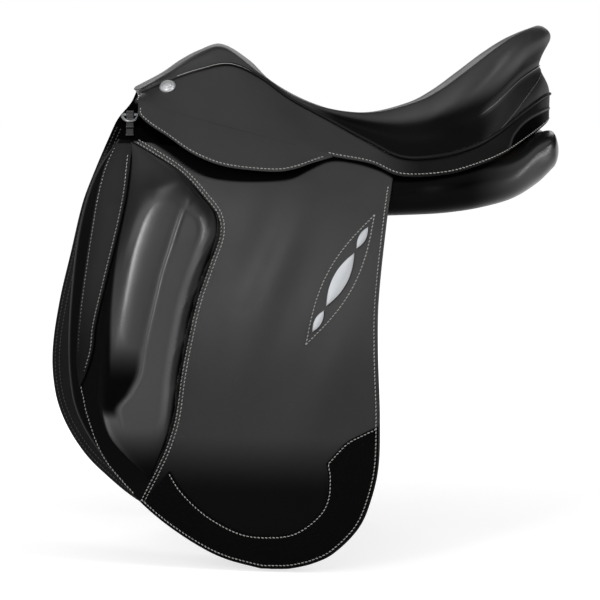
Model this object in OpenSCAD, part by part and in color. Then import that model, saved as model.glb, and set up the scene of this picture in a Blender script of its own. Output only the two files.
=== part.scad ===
// Dressage saddle, built as a saddler builds it: tree, webs, seat, panels, skirts, flaps and girth straps.
// +X runs back towards the cantle, +Z is up and the left-hand side of the horse is -Y.
// The origin lies under the seat's lowest point, at the level where the panels bear on the back.

/* [Seat] */
// Height of the seat's lowest point above the bearing level
seat_height = 105; // [98:1:112]
// Height of the pommel's top above the bearing level
pommel_height = 182; // [174:1:190]
// Height of the cantle's rim above the bearing level
cantle_height = 200; // [190:1:212]
// Reach of the head's front edge ahead of the seat's lowest point
head_reach = 258; // [252:1:264]
// Reach of the cantle's rim behind the seat's lowest point
cantle_reach = 199; // [194:1:206]
// Width of the seat across its widest place
seat_width = 248; // [240:1:256]
// Width of the seat across the twist
twist_width = 128; // [122:1:134]
// Width of the pommel between its two welts
pommel_width = 112; // [106:1:118]
// Thickness of the seat leather
seat_leather = 2.2; // [1.6:0.1:2.8]
// Thickness of the foam under the seat's lowest point
seat_foam_t = 20; // [16:1:23]
// Diameter of the piping along the seat's seam
welt_d = 3.4; // [2.6:0.1:4]

/* [Tree] */
// Thickness of the tree's side rails and cantle
rail_t = 10; // [8:0.5:11]
// Thickness of the head's arch
head_t = 11; // [9:0.5:12]
// Outer radius of the head's arch
head_r = 73; // [70:1:75]
// Length of the head along the horse
head_l = 40; // [36:1:44]
// Angle of the head's points from upright
head_flare = 40; // [39:0.5:41]
// Length of the head's points below the fold of the skirt
point_l = 35; // [32:1:37]
// Thickness of the gullet plate
gullet_t = 3; // [2:0.5:4]
// Thickness of the webs over the tree
web_t = 4; // [3:0.5:4.5]
// Width of the girth webs
web_w = 36; // [32:1:40]
// Thickness of the spring steels under the rails
spring_t = 2.5; // [2:0.5:3.5]
// Diameter of the rivets
rivet_d = 5; // [4:0.5:6]

/* [Stirrup bars] */
// Length of a stirrup bar
bar_l = 95; // [90:1:100]
// Height of the bar's blade
bar_w = 13; // [11:0.5:14]
// Thickness of the bar's blade
bar_t = 5; // [4.5:0.1:5.5]
// Thickness of the bar's back plate
bar_plate_t = 4; // [3:0.5:5]
// Length of the safety catch behind its pin
catch_l = 18; // [16:1:20]
// Diameter of the catch's pin
catch_pin_d = 4; // [3:0.1:4.5]

/* [Sides] */
// Distance between the two skirt folds at the front
fold_front_w = 176; // [172:1:180]
// Distance between the two skirt folds at the back
fold_rear_w = 282; // [276:1:286]
// Outward turn of the sides just below the fold
near_flare = 22; // [20:1:24]
// Depth over which the near flare dies away
near_drop = 35; // [32:1:38]
// Outward turn of the sides further down
far_flare = 62; // [58:1:66]
// Depth over which the far flare dies away
far_drop = 170; // [160:1:180]
// Radius of the sides along the horse
barrel_r = 1790; // [1600:10:2200]

/* [Leathers] */
// Thickness of the skirts
skirt_t = 3; // [2.4:0.1:3.4]
// Height of the skirt's lowest edge above the bearing level
skirt_low = 46; // [44:1:48]
// Thickness of the flaps
flap_t = 4; // [3:0.1:4.4]
// Depth of the flap's lowest edge below the bearing level
flap_drop = 373; // [355:1:390]
// Reach of the flap's front edge ahead of the seat's lowest point
flap_front = 327; // [322:1:332]
// Reach of the flap's rear edge behind the seat's lowest point
flap_rear = 5; // [2:0.5:8]
// Thickness of the sweat flaps
sweat_t = 3.5; // [3:0.1:4]
// Depth of the sweat flap's lowest edge below the bearing level
sweat_drop = 345; // [335:1:352]
// Reach of the sweat flap's front edge ahead of the seat's lowest point
sweat_front = 343; // [340:1:347]
// Thickness of the overlays sewn on the flap
overlay_t = 1.5; // [1:0.1:2]
// Length of the silver inlay on the flap
inlay_l = 62; // [40:1:76]
// Width of the silver inlay on the flap
inlay_w = 15; // [9:0.5:18]

/* [Thigh blocks] */
// Height of a thigh block above its flap
block_h = 38; // [30:1:42]

/* [Girth straps] */
// Width of a girth strap
strap_w = 25; // [22:0.5:28]
// Thickness of a girth strap
strap_t = 4; // [3.2:0.1:4.4]
// Depth of the front strap's end below the bearing level
strap_drop = 316; // [300:1:330]
// Diameter of the buckle holes
hole_d = 6; // [4:0.5:7]
// Distance from one buckle hole to the next
hole_pitch = 25; // [20:0.5:28]

/* [Panels] */
// Half of the clear width of the channel between the panels
channel_half = 32; // [28:1:36]
// Height of a panel's rear end above the bearing level
panel_rise = 58; // [54:1:62]

/* [Small fittings] */
// Diameter of the skirt's nail head
nail_d = 16; // [12:0.5:18]
// Height of the skirt's nail head
nail_h = 4.5; // [3.5:0.1:5.5]
// Diameter of a dee's wire
dee_wire = 3.6; // [3:0.1:4]
// Width of a dee over its wire
dee_w = 20; // [18:0.5:22]

/* [Hidden] */

// Gap between two pieces that lie on each other
lie_gap = 0.3;
// Gap between two layers under the seat
deck_gap = 0.8;
// Gap between the foam and the leather over it
foam_gap = 1.4;
// Gap between the piping and the leathers beside it
welt_gap = 0.5;
// Gap between the skirt and the flap under it
flap_gap = 1;
// Gap between the flap and the girth straps under it
strap_gap = 0.8;
// Gap between the girth straps and the sweat flap under them
sweat_gap = 1.9;
// Gap between the flap and what is sewn on it
sewn_gap = 0.5;
// Gap round a pin or a rivet that doesn't turn
pin_gap = 0.05;
// Gap round a pin that something turns on
run_gap = 0.12;
// Roundness of the small turned pieces
$fn = 48;

black_leather = "#26262a";
soft_leather = "#1e1e21";
lining_leather = "#35322f";
webbing = "#b9a888";
foam_buff = "#cfc29a";
beech = "#a9814f";
steel = "#9aa0a6";
silver = "#d5d7da";

// Blends, curves and skins

function lerp(a, b, u) = a + (b - a) * u;
function unit(v) = v / norm(v);
function flip_y(p) = [p.x, -p.y, p.z];
function reversed(list) = [for (i = [len(list) - 1 : -1 : 0]) list[i]];
function clamp(v, low, high) = min(max(v, low), high);

// Smooth curve through stations, taken at station number t
function along(stations, t) =
    let (last = len(stations) - 1,
         i = clamp(floor(t), 0, last - 1),
         u = t - i,
         b = stations[i],
         c = stations[i + 1],
         a = i > 0 ? stations[i - 1] : 2 * b - c,
         d = i + 2 <= last ? stations[i + 2] : 2 * c - b)
    b + 0.5 * u * (c - a + u * (2 * a - 5 * b + 4 * c - d + u * (3 * (b - c) + d - a)));

// Smooth curve through pairs [place, value] with rising places
function curve_at(pairs, x, i = 0) =
    i < len(pairs) - 2 && x > pairs[i + 1][0] ? curve_at(pairs, x, i + 1) :
    let (last = len(pairs) - 1,
         a = pairs[max(i - 1, 0)],
         b = pairs[i],
         c = pairs[i + 1],
         d = pairs[min(i + 2, last)],
         span = c[0] - b[0],
         u = clamp((x - b[0]) / span, 0, 1),
         rise_b = (c[1] - a[1]) / (c[0] - a[0]) * span,
         rise_c = (d[1] - b[1]) / (d[0] - b[0]) * span)
    b[1] * (1 + 2 * u) * (1 - u) * (1 - u) + rise_b * u * (1 - u) * (1 - u)
        + c[1] * u * u * (3 - 2 * u) + rise_c * u * u * (u - 1);

// Faces of a skin over m closed rings of n points, closed across both end rings
function skin_faces(m, n) = concat(
    [for (k = [0 : m - 2], i = [0 : n - 1])
        let (a = k * n + i, b = k * n + (i + 1) % n) each [[a, b, b + n], [a, b + n, a + n]]],
    [for (i = [0 : n / 2 - 2]) each [[i, n - 1 - i, n - 2 - i], [i, n - 2 - i, i + 1]]],
    [for (i = [0 : n / 2 - 2])
        let (o = (m - 1) * n)
        each [[o + i, o + n - 2 - i, o + n - 1 - i], [o + i, o + i + 1, o + n - 2 - i]]]);

module skin(rings, inside_out = false) {
    faces = skin_faces(len(rings), len(rings[0]));
    polyhedron(
        points = [for (ring = rings) each ring],
        faces = inside_out ? [for (f = faces) [f[2], f[1], f[0]]] : faces);
}

// Tube of radius r round a path of points
module tube(path, r, sides) {
    last = len(path) - 1;
    skin([for (i = [0 : last])
        let (way = unit(path[min(i + 1, last)] - path[max(i - 1, 0)]),
             across = unit(cross([0, 0, 1], way)),
             over = cross(way, across))
        [for (k = [0 : sides - 1])
            let (turn = 360 * (k + 0.5) / sides) path[i] + r * (cos(turn) * across + sin(turn) * over)]],
        inside_out = true);
}

module left() {
    mirror([0, 1, 0]) children();
}

// Seat: stations run from the middle of the pommel's front round the right side to the middle of the cantle

half_seat = seat_width / 2;
half_twist = twist_width / 2;
half_pommel = pommel_width / 2;
// Half of the closing strip on the middle line
mid_strip = 4;

// Crest of the seat's rim
rim = [
    [-head_reach - 2, mid_strip, pommel_height - 47],
    [-head_reach + 8, half_pommel - 20, pommel_height - 47],
    [-head_reach + 36, half_pommel - 14, pommel_height - 31],
    [-head_reach + 68, half_pommel - 14, pommel_height - 12],
    [-head_reach + 98, half_pommel - 14, pommel_height - 5],
    [-121, half_pommel - 10, pommel_height - 33],
    [-85, half_twist - 6, seat_height + 20],
    [-45, half_twist + 14, seat_height + 5],
    [0, half_seat - 27, seat_height + 1],
    [45, half_seat - 14, seat_height + 11],
    [cantle_reach - 126, half_seat - 8, seat_height + 25],
    [cantle_reach - 97, half_seat - 8, cantle_height - 49],
    [cantle_reach - 69, half_seat - 18, cantle_height - 27.5],
    [cantle_reach - 44, half_seat - 39, cantle_height - 11],
    [cantle_reach - 19, half_seat - 78, cantle_height],
    [cantle_reach - 8, mid_strip, cantle_height]
];

// Outermost line of the rim's roll
roll = [
    [-head_reach - 4, mid_strip, pommel_height - 50],
    [-head_reach + 7, half_pommel - 10, pommel_height - 49],
    [-head_reach + 36, half_pommel - 6, pommel_height - 33],
    [-head_reach + 69, half_pommel - 7, pommel_height - 16],
    [-head_reach + 100, half_pommel - 8, pommel_height - 9],
    [-121, half_pommel - 6, pommel_height - 33.5],
    [-86, half_twist - 2, seat_height + 19],
    [-45, half_twist + 19, seat_height + 1],
    [0, half_seat - 20, seat_height - 8],
    [44, half_seat - 7, seat_height - 8],
    [cantle_reach - 125, half_seat, seat_height + 3],
    [cantle_reach - 93, half_seat, cantle_height - 70],
    [cantle_reach - 62, half_seat - 11, cantle_height - 46],
    [cantle_reach - 36, half_seat - 34, cantle_height - 28],
    [cantle_reach - 9, half_seat - 74, cantle_height - 14],
    [cantle_reach, mid_strip, cantle_height - 12]
];

// Crease under the roll
crease = [
    [-head_reach - 2, mid_strip, pommel_height - 52],
    [-head_reach + 8, half_pommel - 6, pommel_height - 51],
    [-head_reach + 35, half_pommel - 1, pommel_height - 37],
    [-head_reach + 69, half_pommel - 4, pommel_height - 22],
    [-head_reach + 101, half_pommel - 5, pommel_height - 16],
    [-121, half_pommel - 4, pommel_height - 35],
    [-87, half_twist, seat_height + 17],
    [-45, half_twist + 19, seat_height - 3],
    [-3, half_seat - 22, seat_height - 18],
    [36, half_seat - 8, seat_height - 29],
    [cantle_reach - 125, half_seat - 2, seat_height - 21],
    [cantle_reach - 93, half_seat - 8, cantle_height - 102],
    [cantle_reach - 68, half_seat - 23, cantle_height - 85],
    [cantle_reach - 41, half_seat - 50, cantle_height - 60],
    [cantle_reach - 17.5, half_seat - 84, cantle_height - 45],
    [cantle_reach - 14, mid_strip, cantle_height - 43]
];

// Seam where the seat meets the skirts
seam = [
    [-head_reach, mid_strip, pommel_height - 57],
    [-head_reach + 8, half_pommel + 2, pommel_height - 54],
    [-head_reach + 35, half_pommel + 4, pommel_height - 42],
    [-head_reach + 70, half_pommel, pommel_height - 30],
    [-head_reach + 104, half_pommel - 2, pommel_height - 24],
    [-121, half_pommel - 2, pommel_height - 38],
    [-88, half_twist + 3, seat_height + 15.5],
    [-45, half_twist + 22, seat_height - 8],
    [-5, half_seat - 16, seat_height - 30],
    [32, half_seat + 2, seat_height - 47.5],
    [cantle_reach - 125, half_seat + 9, seat_height - 45.5],
    [cantle_reach - 92, half_seat + 2, seat_height - 36],
    [cantle_reach - 66, half_seat - 14, seat_height - 22],
    [cantle_reach - 39, half_seat - 44, seat_height - 2],
    [cantle_reach - 14, half_seat - 79, seat_height + 15],
    [cantle_reach, mid_strip, seat_height + 21]
];
last_station = len(seam) - 1;

// Height of the seat along its middle line, from rim to rim
spine = [
    [-head_reach - 2, pommel_height - 47],
    [-head_reach + 28, pommel_height - 31],
    [-head_reach + 47, pommel_height - 18],
    [-head_reach + 68, pommel_height - 7],
    [-head_reach + 93, pommel_height],
    [-head_reach + 124, pommel_height - 18],
    [-head_reach + 147, pommel_height - 40],
    [-72, seat_height + 15],
    [-29, seat_height + 1],
    [0, seat_height - 3],
    [45, seat_height + 2],
    [cantle_reach - 125, seat_height + 9],
    [cantle_reach - 97, seat_height + 25],
    [cantle_reach - 69, cantle_height - 48],
    [cantle_reach - 44, cantle_height - 26],
    [cantle_reach - 20, cantle_height - 7],
    [cantle_reach - 8, cantle_height]
];
// The seat's cross lines fan out from these two places at the pommel and the cantle
fan_front = -190;
fan_rear = 85;
fan_pull = 0.35;
function fan(x) =
    x > fan_rear ? lerp(fan_rear, x, fan_pull) :
    x < fan_front ? lerp(fan_front, x, fan_pull) : x;

// Top of the seat: w goes from the rim, 0, to the middle line, 1
function seat_top(t, w) =
    let (c = along(rim, t),
         x = lerp(c.x, fan(c.x), w),
         rise = c.z - curve_at(spine, c.x),
         fall = rise > 0 ? w * w * (3 - 2 * w) : sin(90 * w))
    [x, c.y * (1 - w), curve_at(spine, x) + rise * (1 - fall)];

// Room that half of the piping takes on each side of the seam
welt_room = welt_d / 2 + welt_gap;

function seat_level(k, t) =
    k == 0 ? let (s = along(seam, t), c = along(crease, t)) s + welt_room * unit(c - s) :
    k == 1 ? along(crease, t) :
    k == 2 ? along(roll, t) :
    k == 3 ? along(rim, t) : seat_top(t, [0.2, 0.45, 0.7, 0.96][k - 4]);

seat_levels = 8;
seat_steps = 31;
function seat_station(i) = last_station * i / (seat_steps - 1);
function whole_ring(half) = concat(half, [for (p = reversed(half)) flip_y(p)]);

seat_grid = [for (k = [0 : seat_levels - 1])
    whole_ring([for (i = [0 : seat_steps - 1]) seat_level(k, seat_station(i))])];

function seat_normal(k, i) =
    let (n = 2 * seat_steps,
         round = seat_grid[k][(i + 1) % n] - seat_grid[k][(i + n - 1) % n],
         up = seat_grid[min(k + 1, seat_levels - 1)][i] - seat_grid[max(k - 1, 0)][i])
    unit(cross(up, round));

function seat_inset(k, depth) =
    [for (i = [0 : 2 * seat_steps - 1]) seat_grid[k][i] - depth * seat_normal(k, i)];

// Thickness of the foam along the seat
foam_run = [
    [-head_reach, seat_foam_t - 13],
    [-head_reach + 93, seat_foam_t - 12],
    [-110, seat_foam_t - 6],
    [0, seat_foam_t],
    [100, seat_foam_t + 2],
    [cantle_reach, seat_foam_t - 2]
];

// Point of a layer that lies under the seat's foam, at a depth below it
function deck(t, w, depth) =
    let (p = seat_top(t, w))
    p - [0, 0, seat_leather + foam_gap + curve_at(foam_run, p.x) + depth];

web_top = deck_gap;
web_low = web_top + web_t;
rail_top = web_low + deck_gap;
rail_low = rail_top + rail_t;
spring_top = rail_low + deck_gap;
spring_low = spring_top + spring_t;

// A strip of a deck layer: rows at stations, columns across, between two depths
function deck_ring(t, columns, top, low) = concat(
    [for (w = columns) deck(t, w, top)],
    [for (w = reversed(columns)) deck(t, w, low)]);

module deck_strip(t_from, t_to, rows, columns, top, low) {
    skin([for (i = [0 : rows - 1]) deck_ring(lerp(t_from, t_to, i / (rows - 1)), columns, top, low)],
        inside_out = true);
}

// Sides: every leather of a side is a layer of one surface, at an offset from the skirt's outer face

fold_front = [-250, fold_front_w / 2, pommel_height - 65.8];
fold_rear = [23, fold_rear_w / 2, skirt_low - 3];
barrel_mid = -110;
barrel_drop = 150;

function fold(x) = lerp(fold_front, fold_rear, (x - fold_front.x) / (fold_rear.x - fold_front.x));
fold_way = unit(fold_rear - fold_front);

function side_y(x, z) =
    let (p = fold(x), v = p.z - z)
    v < 0 ? p.y + v * (near_flare / near_drop + far_flare / far_drop) :
    p.y + near_flare * (1 - exp(-v / near_drop)) + far_flare * (1 - exp(-v / far_drop))
        - pow(x - barrel_mid, 2) / (2 * barrel_r) * (1 - exp(-v / barrel_drop));

function side_normal(x, z) =
    let (e = 0.5)
    unit([side_y(x - e, z) - side_y(x + e, z), 2 * e, side_y(x, z - e) - side_y(x, z + e)]);

function side_point(x, z, offset) = [x, side_y(x, z), z] + offset * side_normal(x, z);

// Turns a piece so that its Z is the side's normal and its Y runs down the side
module side_frame(x, z, offset) {
    n = side_normal(x, z);
    translate(side_point(x, z, offset))
        rotate([0, 0, atan2(-n.x, n.y)])
            rotate([asin(n.z) - 90, 0, 0])
                children();
}

skirt_in = -skirt_t;
flap_out = skirt_in - flap_gap;
flap_in = flap_out - flap_t;
strap_out = flap_in - strap_gap;
strap_in = strap_out - strap_t;
sweat_out = strap_in - sweat_gap;
sweat_in = sweat_out - sweat_t;
overlay_in = flap_out + sewn_gap;
overlay_out = overlay_in + overlay_t;

// Ring through points [x, z] of a side, on an inner and an outer layer
function leaf_ring(points, inner, outer) = concat(
    [for (p = points) side_point(p[0], p[1], inner)],
    [for (p = reversed(points)) side_point(p[0], p[1], outer)]);

// Rows of [x, z] over a leaf with a front edge, a rear edge and a top edge; top rows follow the top edge
function leaf_row(front, rear, top, level, drop, h, columns) =
    let (bend = pow(1 - h, 3),
         flat = lerp(level, -drop, h),
         top_front = top[0][1] - level,
         top_rear = top[len(top) - 1][1] - level,
         a = curve_at(front, -flat - bend * top_front),
         b = curve_at(rear, -flat - bend * top_rear))
    [for (j = [0 : columns - 1])
        let (x = lerp(a, b, j / (columns - 1))) [x, flat + bend * (curve_at(top, x) - level)]];

leaf_steps = [
    0, 0.025, 0.05, 0.08, 0.115, 0.16, 0.22, 0.3, 0.4, 0.52, 0.64, 0.74, 0.82, 0.88, 0.93, 0.968, 0.99, 0.999
];

module leaf(front, rear, top, level, drop, inner, outer) {
    skin([for (h = leaf_steps) leaf_ring(leaf_row(front, rear, top, level, drop, h, 9), inner, outer)]);
}

// Flap: its edges give the place along the horse for each depth below the bearing level
flap_front_edge = [
    [-80, -flap_front + 54],
    [-45, -flap_front + 31],
    [-2, -flap_front + 16],
    [56, -flap_front + 6],
    [140, -flap_front],
    [flap_drop - 178, -flap_front + 4],
    [flap_drop - 147, -flap_front + 15],
    [flap_drop - 115, -flap_front + 36],
    [flap_drop - 84, -flap_front + 61],
    [flap_drop - 60, -flap_front + 85],
    [flap_drop - 38, -flap_front + 114],
    [flap_drop - 18, -flap_front + 148],
    [flap_drop - 8, -flap_front + 173],
    [flap_drop, -flap_front + 208]
];
flap_rear_edge = [
    [-46, flap_rear + 17],
    [2, flap_rear + 9],
    [90, flap_rear - 1],
    [142, flap_rear - 2],
    [215, flap_rear],
    [flap_drop - 106, flap_rear - 2],
    [flap_drop - 64, flap_rear - 13],
    [flap_drop - 43, flap_rear - 24],
    [flap_drop - 22, flap_rear - 44],
    [flap_drop - 10, flap_rear - 63],
    [flap_drop - 1, flap_rear - 95],
    [flap_drop, flap_rear - 122]
];
flap_top_edge = [
    [-flap_front + 54, 80],
    [-235, skirt_low + 30],
    [-195, skirt_low + 24],
    [-150, skirt_low + 12],
    [-110, skirt_low + 4],
    [-85, skirt_low + 9],
    [-62, skirt_low + 15],
    [-40, skirt_low + 14.5],
    [-19.5, skirt_low + 12],
    [7, skirt_low + 6],
    [flap_rear + 17, skirt_low]
];
flap_level = 60;

// Sweat flap, the under flap next to the horse
sweat_front_edge = [
    [-128, -sweat_front + 88],
    [-109, -sweat_front + 74],
    [-87, -sweat_front + 64],
    [-44, -sweat_front + 46],
    [-12, -sweat_front + 34],
    [41, -sweat_front + 21],
    [95, -sweat_front + 8],
    [150, -sweat_front],
    [sweat_drop - 154, -sweat_front + 3],
    [sweat_drop - 122, -sweat_front + 14],
    [sweat_drop - 91, -sweat_front + 34],
    [sweat_drop - 70, -sweat_front + 55],
    [sweat_drop - 40, -sweat_front + 95],
    [sweat_drop - 20, -sweat_front + 140],
    [sweat_drop - 7, -sweat_front + 180],
    [sweat_drop, -sweat_front + 221]
];
sweat_rear_edge = [
    [-10, flap_rear + 3],
    [60, flap_rear - 11],
    [150, flap_rear - 17],
    [sweat_drop - 95, flap_rear - 19],
    [sweat_drop - 50, flap_rear - 27],
    [sweat_drop - 22, flap_rear - 55],
    [sweat_drop - 7, flap_rear - 90],
    [sweat_drop, flap_rear - 124]
];
sweat_top_edge = [
    [-sweat_front + 88, 128],
    [-240, 110],
    [-222, 66],
    [-207, 30],
    [-150, 22],
    [-80, 18],
    [flap_rear + 3, 10]
];
sweat_level = 40;

// Lower edge of the skirt's lobe, in front of the place where it meets the fold
lobe_from = -252;
lobe_to = -52;
lobe_edge = [
    [lobe_from - 4, fold(lobe_from - 4).z - 3],
    [-239, skirt_low + 53],
    [-222, skirt_low + 40],
    [-195, skirt_low + 21],
    [-171, skirt_low + 9.7],
    [-152, skirt_low + 4.4],
    [-125, skirt_low + 1.3],
    [-99, skirt_low],
    [-81, skirt_low + 3.5],
    [-62, skirt_low + 11.8],
    [lobe_to + 11, skirt_low + 15]
];
// Half of the cut between the lobe and the skirt along the fold
fold_cut = 0.3;

// Lower edge of the skirt: the fold, and behind it the band round the back
band = concat(
    [for (s = [0 : 7]) fold(s == 0 ? -head_reach + 1 : s == 1 ? -head_reach + 2 : seam[s].x)],
    [[-2, side_y(-2, skirt_low + 7), skirt_low + 7],
     [30, half_seat + 19, skirt_low - 6],
     [cantle_reach - 121, half_seat + 24, skirt_low - 4],
     [cantle_reach - 84, half_seat + 13, skirt_low + 6],
     [cantle_reach - 56, half_seat - 8, skirt_low + 17],
     [cantle_reach - 29, half_seat - 40, skirt_low + 33],
     [cantle_reach - 9, half_seat - 78, skirt_low + 46],
     [cantle_reach - 1, mid_strip, skirt_low + 52]]);

skirt_stations = [for (i = [0 : seat_steps - 1]) if (seat_station(i) >= 1) seat_station(i)];
skirt_columns = 4;
function skirt_face(t, u) =
    let (s = along(seam, t),
         e = along(band, t),
         way = unit(e - s))
    lerp(s + welt_room * way, e - fold_cut * way, u);
function skirt_normal(t, u) =
    let (e = 0.02)
    unit(cross(skirt_face(t, u - e) - skirt_face(t, u + e), skirt_face(t + e, u) - skirt_face(t - e, u)));
function skirt_ring(t) =
    let (columns = [for (j = [0 : skirt_columns - 1]) j / (skirt_columns - 1)])
    concat(
        [for (u = columns) skirt_face(t, u)],
        [for (u = reversed(columns)) skirt_face(t, u) - skirt_t * skirt_normal(t, u)]);

// Head of the tree: a plain arch across the horse, with straight points
head_back = -165;
head_front = head_back - head_l;
head_seat_t = 2.6;
// Rise of the arch into the underside of the rails, where the two are halved into each other
head_let = 0.6;
head_top = deck(head_seat_t, 0.55, rail_low).z + head_let;
head_mid = head_top - head_r;
point_way = [0, sin(head_flare), -cos(head_flare)];
point_normal = [0, cos(head_flare), sin(head_flare)];
point_plane = point_normal.z * head_mid + head_r;
bar_x = -158;
// Distance of the fold from the outer face of the point
function fold_stand(x) = fold(x) * point_normal - point_plane;
bar_stand = fold_stand(bar_x);
bar_foot = fold(bar_x) - bar_stand * point_normal;
bar_slope = asin(fold_way * point_way);
point_tip = bar_foot * point_way + point_l;
point_root = [0, 0, head_mid] * point_way;

// Half arch in a plane, y out and z up, between two radii about the arch's middle
module arch(outer, inner, reach) {
    for (side = [0, 1])
        mirror([side, 0])
            translate([0, head_mid]) {
                intersection() {
                    difference() {
                        circle(outer, $fn = 96);
                        circle(inner, $fn = 96);
                    }
                    polygon([[0, 0], [0, 2 * outer],
                        [2 * outer * sin(45), 2 * outer * cos(45)],
                        2 * outer * [cos(head_flare), sin(head_flare)]]);
                }
                rotate(head_flare)
                    translate([inner, -reach])
                        square([outer - inner, reach]);
            }
}

module along_horse(x_from, x_to) {
    translate([x_from, 0, 0])
        rotate([90, 0, 90])
            linear_extrude(x_to - x_from)
                children();
}

point_reach = point_tip - point_root;
module head_rivet_row(x_from, x_to, d) {
    for (turn = [-32, 0, 32])
        translate([x_from, (head_r - head_t / 2) * sin(turn), head_mid + (head_r - head_t / 2) * cos(turn)])
            rotate([0, 90, 0])
                cylinder(d = d, h = x_to - x_from);
}

// Turns a piece onto the outer face of the head's point, X along the bar and Z outward
module bar_frame() {
    translate(bar_foot)
        rotate([head_flare - 90, 0, 0])
            rotate([0, 0, bar_slope])
                children();
}

bar_rivet_x = -bar_l / 2 + 24;
bar_rivet_y = [-17, 10];
module bar_rivet_pair(z_from, z_to, d) {
    for (y = bar_rivet_y)
        translate([bar_rivet_x, y, z_from])
            cylinder(d = d, h = z_to - z_from);
}

// Gap between the bar's blade and the skirt over it, where the fold comes nearest
blade_gap = 0.7;
blade_room = min(fold_stand(bar_x - bar_l / 2), fold_stand(bar_x + bar_l / 2));
blade_out = blade_room - skirt_t - blade_gap;
blade_in = blade_out - bar_t;
plate_in = lie_gap;
plate_out = plate_in + bar_plate_t;
// The back plate spreads this far above and below the fold
plate_up = 26;
plate_down = 18;
// Length of the arm that carries the blade
bar_arm_l = 12;
blade_low = 3;
blade_mid = blade_low + bar_w / 2;
catch_pin_x = bar_l / 2 - 14;
catch_w = bar_w - 3;
catch_t = bar_t / 2 - lie_gap / 2;
rivet_head = 1.2;
rivet_head_d = rivet_d + 3;

// Nodes

module tree_head() {
    color(beech) difference() {
        along_horse(head_front, head_back) arch(head_r, head_r - head_t, point_reach);
        head_rivet_row(head_front - 1, head_back + 1, rivet_d + 2 * pin_gap);
        for (side = [0, 1])
            mirror([0, side, 0])
                bar_frame() bar_rivet_pair(-head_t - 1, 1, rivet_d + 2 * pin_gap);
    }
}

rail_columns = [0.16, 0.3, 0.43, 0.55];
rail_first = 2.5;
module tree_frame() {
    steps = 42;
    last = 2 * last_station - rail_first;
    color(beech) skin([for (i = [0 : steps - 1])
        let (t = lerp(rail_first, last, i / (steps - 1)),
             half = deck_ring(min(t, 2 * last_station - t), rail_columns, rail_top, rail_low))
        t <= last_station ? half : [for (p = half) flip_y(p)]], inside_out = true);
}

module gullet_plate() {
    shy = 1.5;
    short = 30;
    color(steel) difference() {
        along_horse(head_front - lie_gap - gullet_t, head_front - lie_gap)
            arch(head_r - shy, head_r - head_t + shy, point_reach - short);
        head_rivet_row(head_front - gullet_t - 1, head_front + 1, rivet_d + 2 * pin_gap);
    }
}

module head_rivets() {
    outer_face = head_front - lie_gap - gullet_t - pin_gap;
    color(steel) {
        head_rivet_row(outer_face, head_back + pin_gap, rivet_d);
        head_rivet_row(outer_face - rivet_head, outer_face, rivet_head_d);
        head_rivet_row(head_back + pin_gap, head_back + pin_gap + rivet_head, rivet_head_d);
    }
}

spring_first = 4.6;
spring_last = 13.2;
module spring_steel() {
    rows = 18;
    columns = [0.3, 0.43];
    color(steel) deck_strip(spring_first, spring_last, rows, columns, spring_top, spring_low);
}

module stirrup_bar() {
    front = -bar_l / 2;
    color(steel) difference() {
        bar_frame() {
            translate([front, -plate_up, plate_in])
                cube([bar_l, plate_up + plate_down, bar_plate_t]);
            translate([front, blade_low, plate_out])
                cube([bar_arm_l, bar_w, blade_in - plate_out]);
            translate([front, blade_low, blade_in])
                cube([catch_pin_x - catch_w / 2 - 2 - front, bar_w, bar_t]);
            translate([front, blade_low, blade_in])
                cube([catch_pin_x + catch_w / 2 - front, bar_w, bar_t - catch_t - lie_gap]);
        }
        bar_frame() {
            bar_rivet_pair(plate_in - 1, plate_out + 1, rivet_d + 2 * pin_gap);
            translate([catch_pin_x, blade_mid, blade_in - 1])
                cylinder(d = catch_pin_d + 2 * pin_gap, h = bar_t + 2);
        }
    }
}

module bar_rivets() {
    inner_face = -head_t - pin_gap;
    outer_face = plate_out + pin_gap;
    color(steel)
        for (side = [0, 1])
            mirror([0, side, 0])
                bar_frame() {
                    bar_rivet_pair(inner_face, outer_face, rivet_d);
                    bar_rivet_pair(inner_face - rivet_head, inner_face, rivet_head_d);
                    bar_rivet_pair(outer_face, outer_face + rivet_head, rivet_head_d);
                }
}

module bar_catch() {
    color(steel)
        bar_frame()
            translate([catch_pin_x, blade_mid, blade_out - catch_t])
                linear_extrude(catch_t)
                    difference() {
                        union() {
                            circle(d = catch_w);
                            translate([0, -catch_w / 2])
                                square([catch_l, catch_w]);
                        }
                        circle(d = catch_pin_d + 2 * run_gap);
                    }
}

module catch_pin() {
    color(silver)
        bar_frame()
            translate([catch_pin_x, blade_mid, blade_in])
                cylinder(d = catch_pin_d, h = bar_t);
}

// A girth web lies over the tree from one side to the other and ends above its two straps
web_columns = [0.97, 0.75, 0.55, 0.43, 0.3, 0.16, 0.08];
// Length of the web's hanging end, and the gap between it and the strap's top
web_hang = 16;
web_end_gap = 0.8;
// How much narrower the web is at its hanging ends
web_taper = 4;
function web_half(t, top, low, x, strap_top) = let (
    upper = [for (w = web_columns) deck(t, w, top)],
    lower = [for (w = web_columns) deck(t, w, low)],
    hang = strap_top + web_end_gap)
    [concat(upper, [side_point(x, hang + web_hang, strap_out), side_point(x, hang, strap_out)]),
     concat(lower, [side_point(x, hang + web_hang, strap_in), side_point(x, hang, strap_in)])];
function web_ring(t, x, strap_top) =
    let (half = web_half(t, web_top, web_low, x, strap_top))
    concat(
        [for (p = reversed(half[0])) flip_y(p)], half[0],
        reversed(half[1]), [for (p = half[1]) flip_y(p)]);

module girth_web(t, strap_x, strap_top) {
    color(webbing) skin([for (s = [-1, 0, 1])
        web_ring(t + s * web_spread, strap_x + s * (web_w - web_taper) / 2, strap_top)]);
}

// Places of the girth straps, and the seat stations over which their webs run
front_strap_x = -90;
rear_strap_x = -44;
front_web_t = 5.86;
rear_web_t = 7.02;
web_spread = 0.36;
strap_top = 40;

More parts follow.
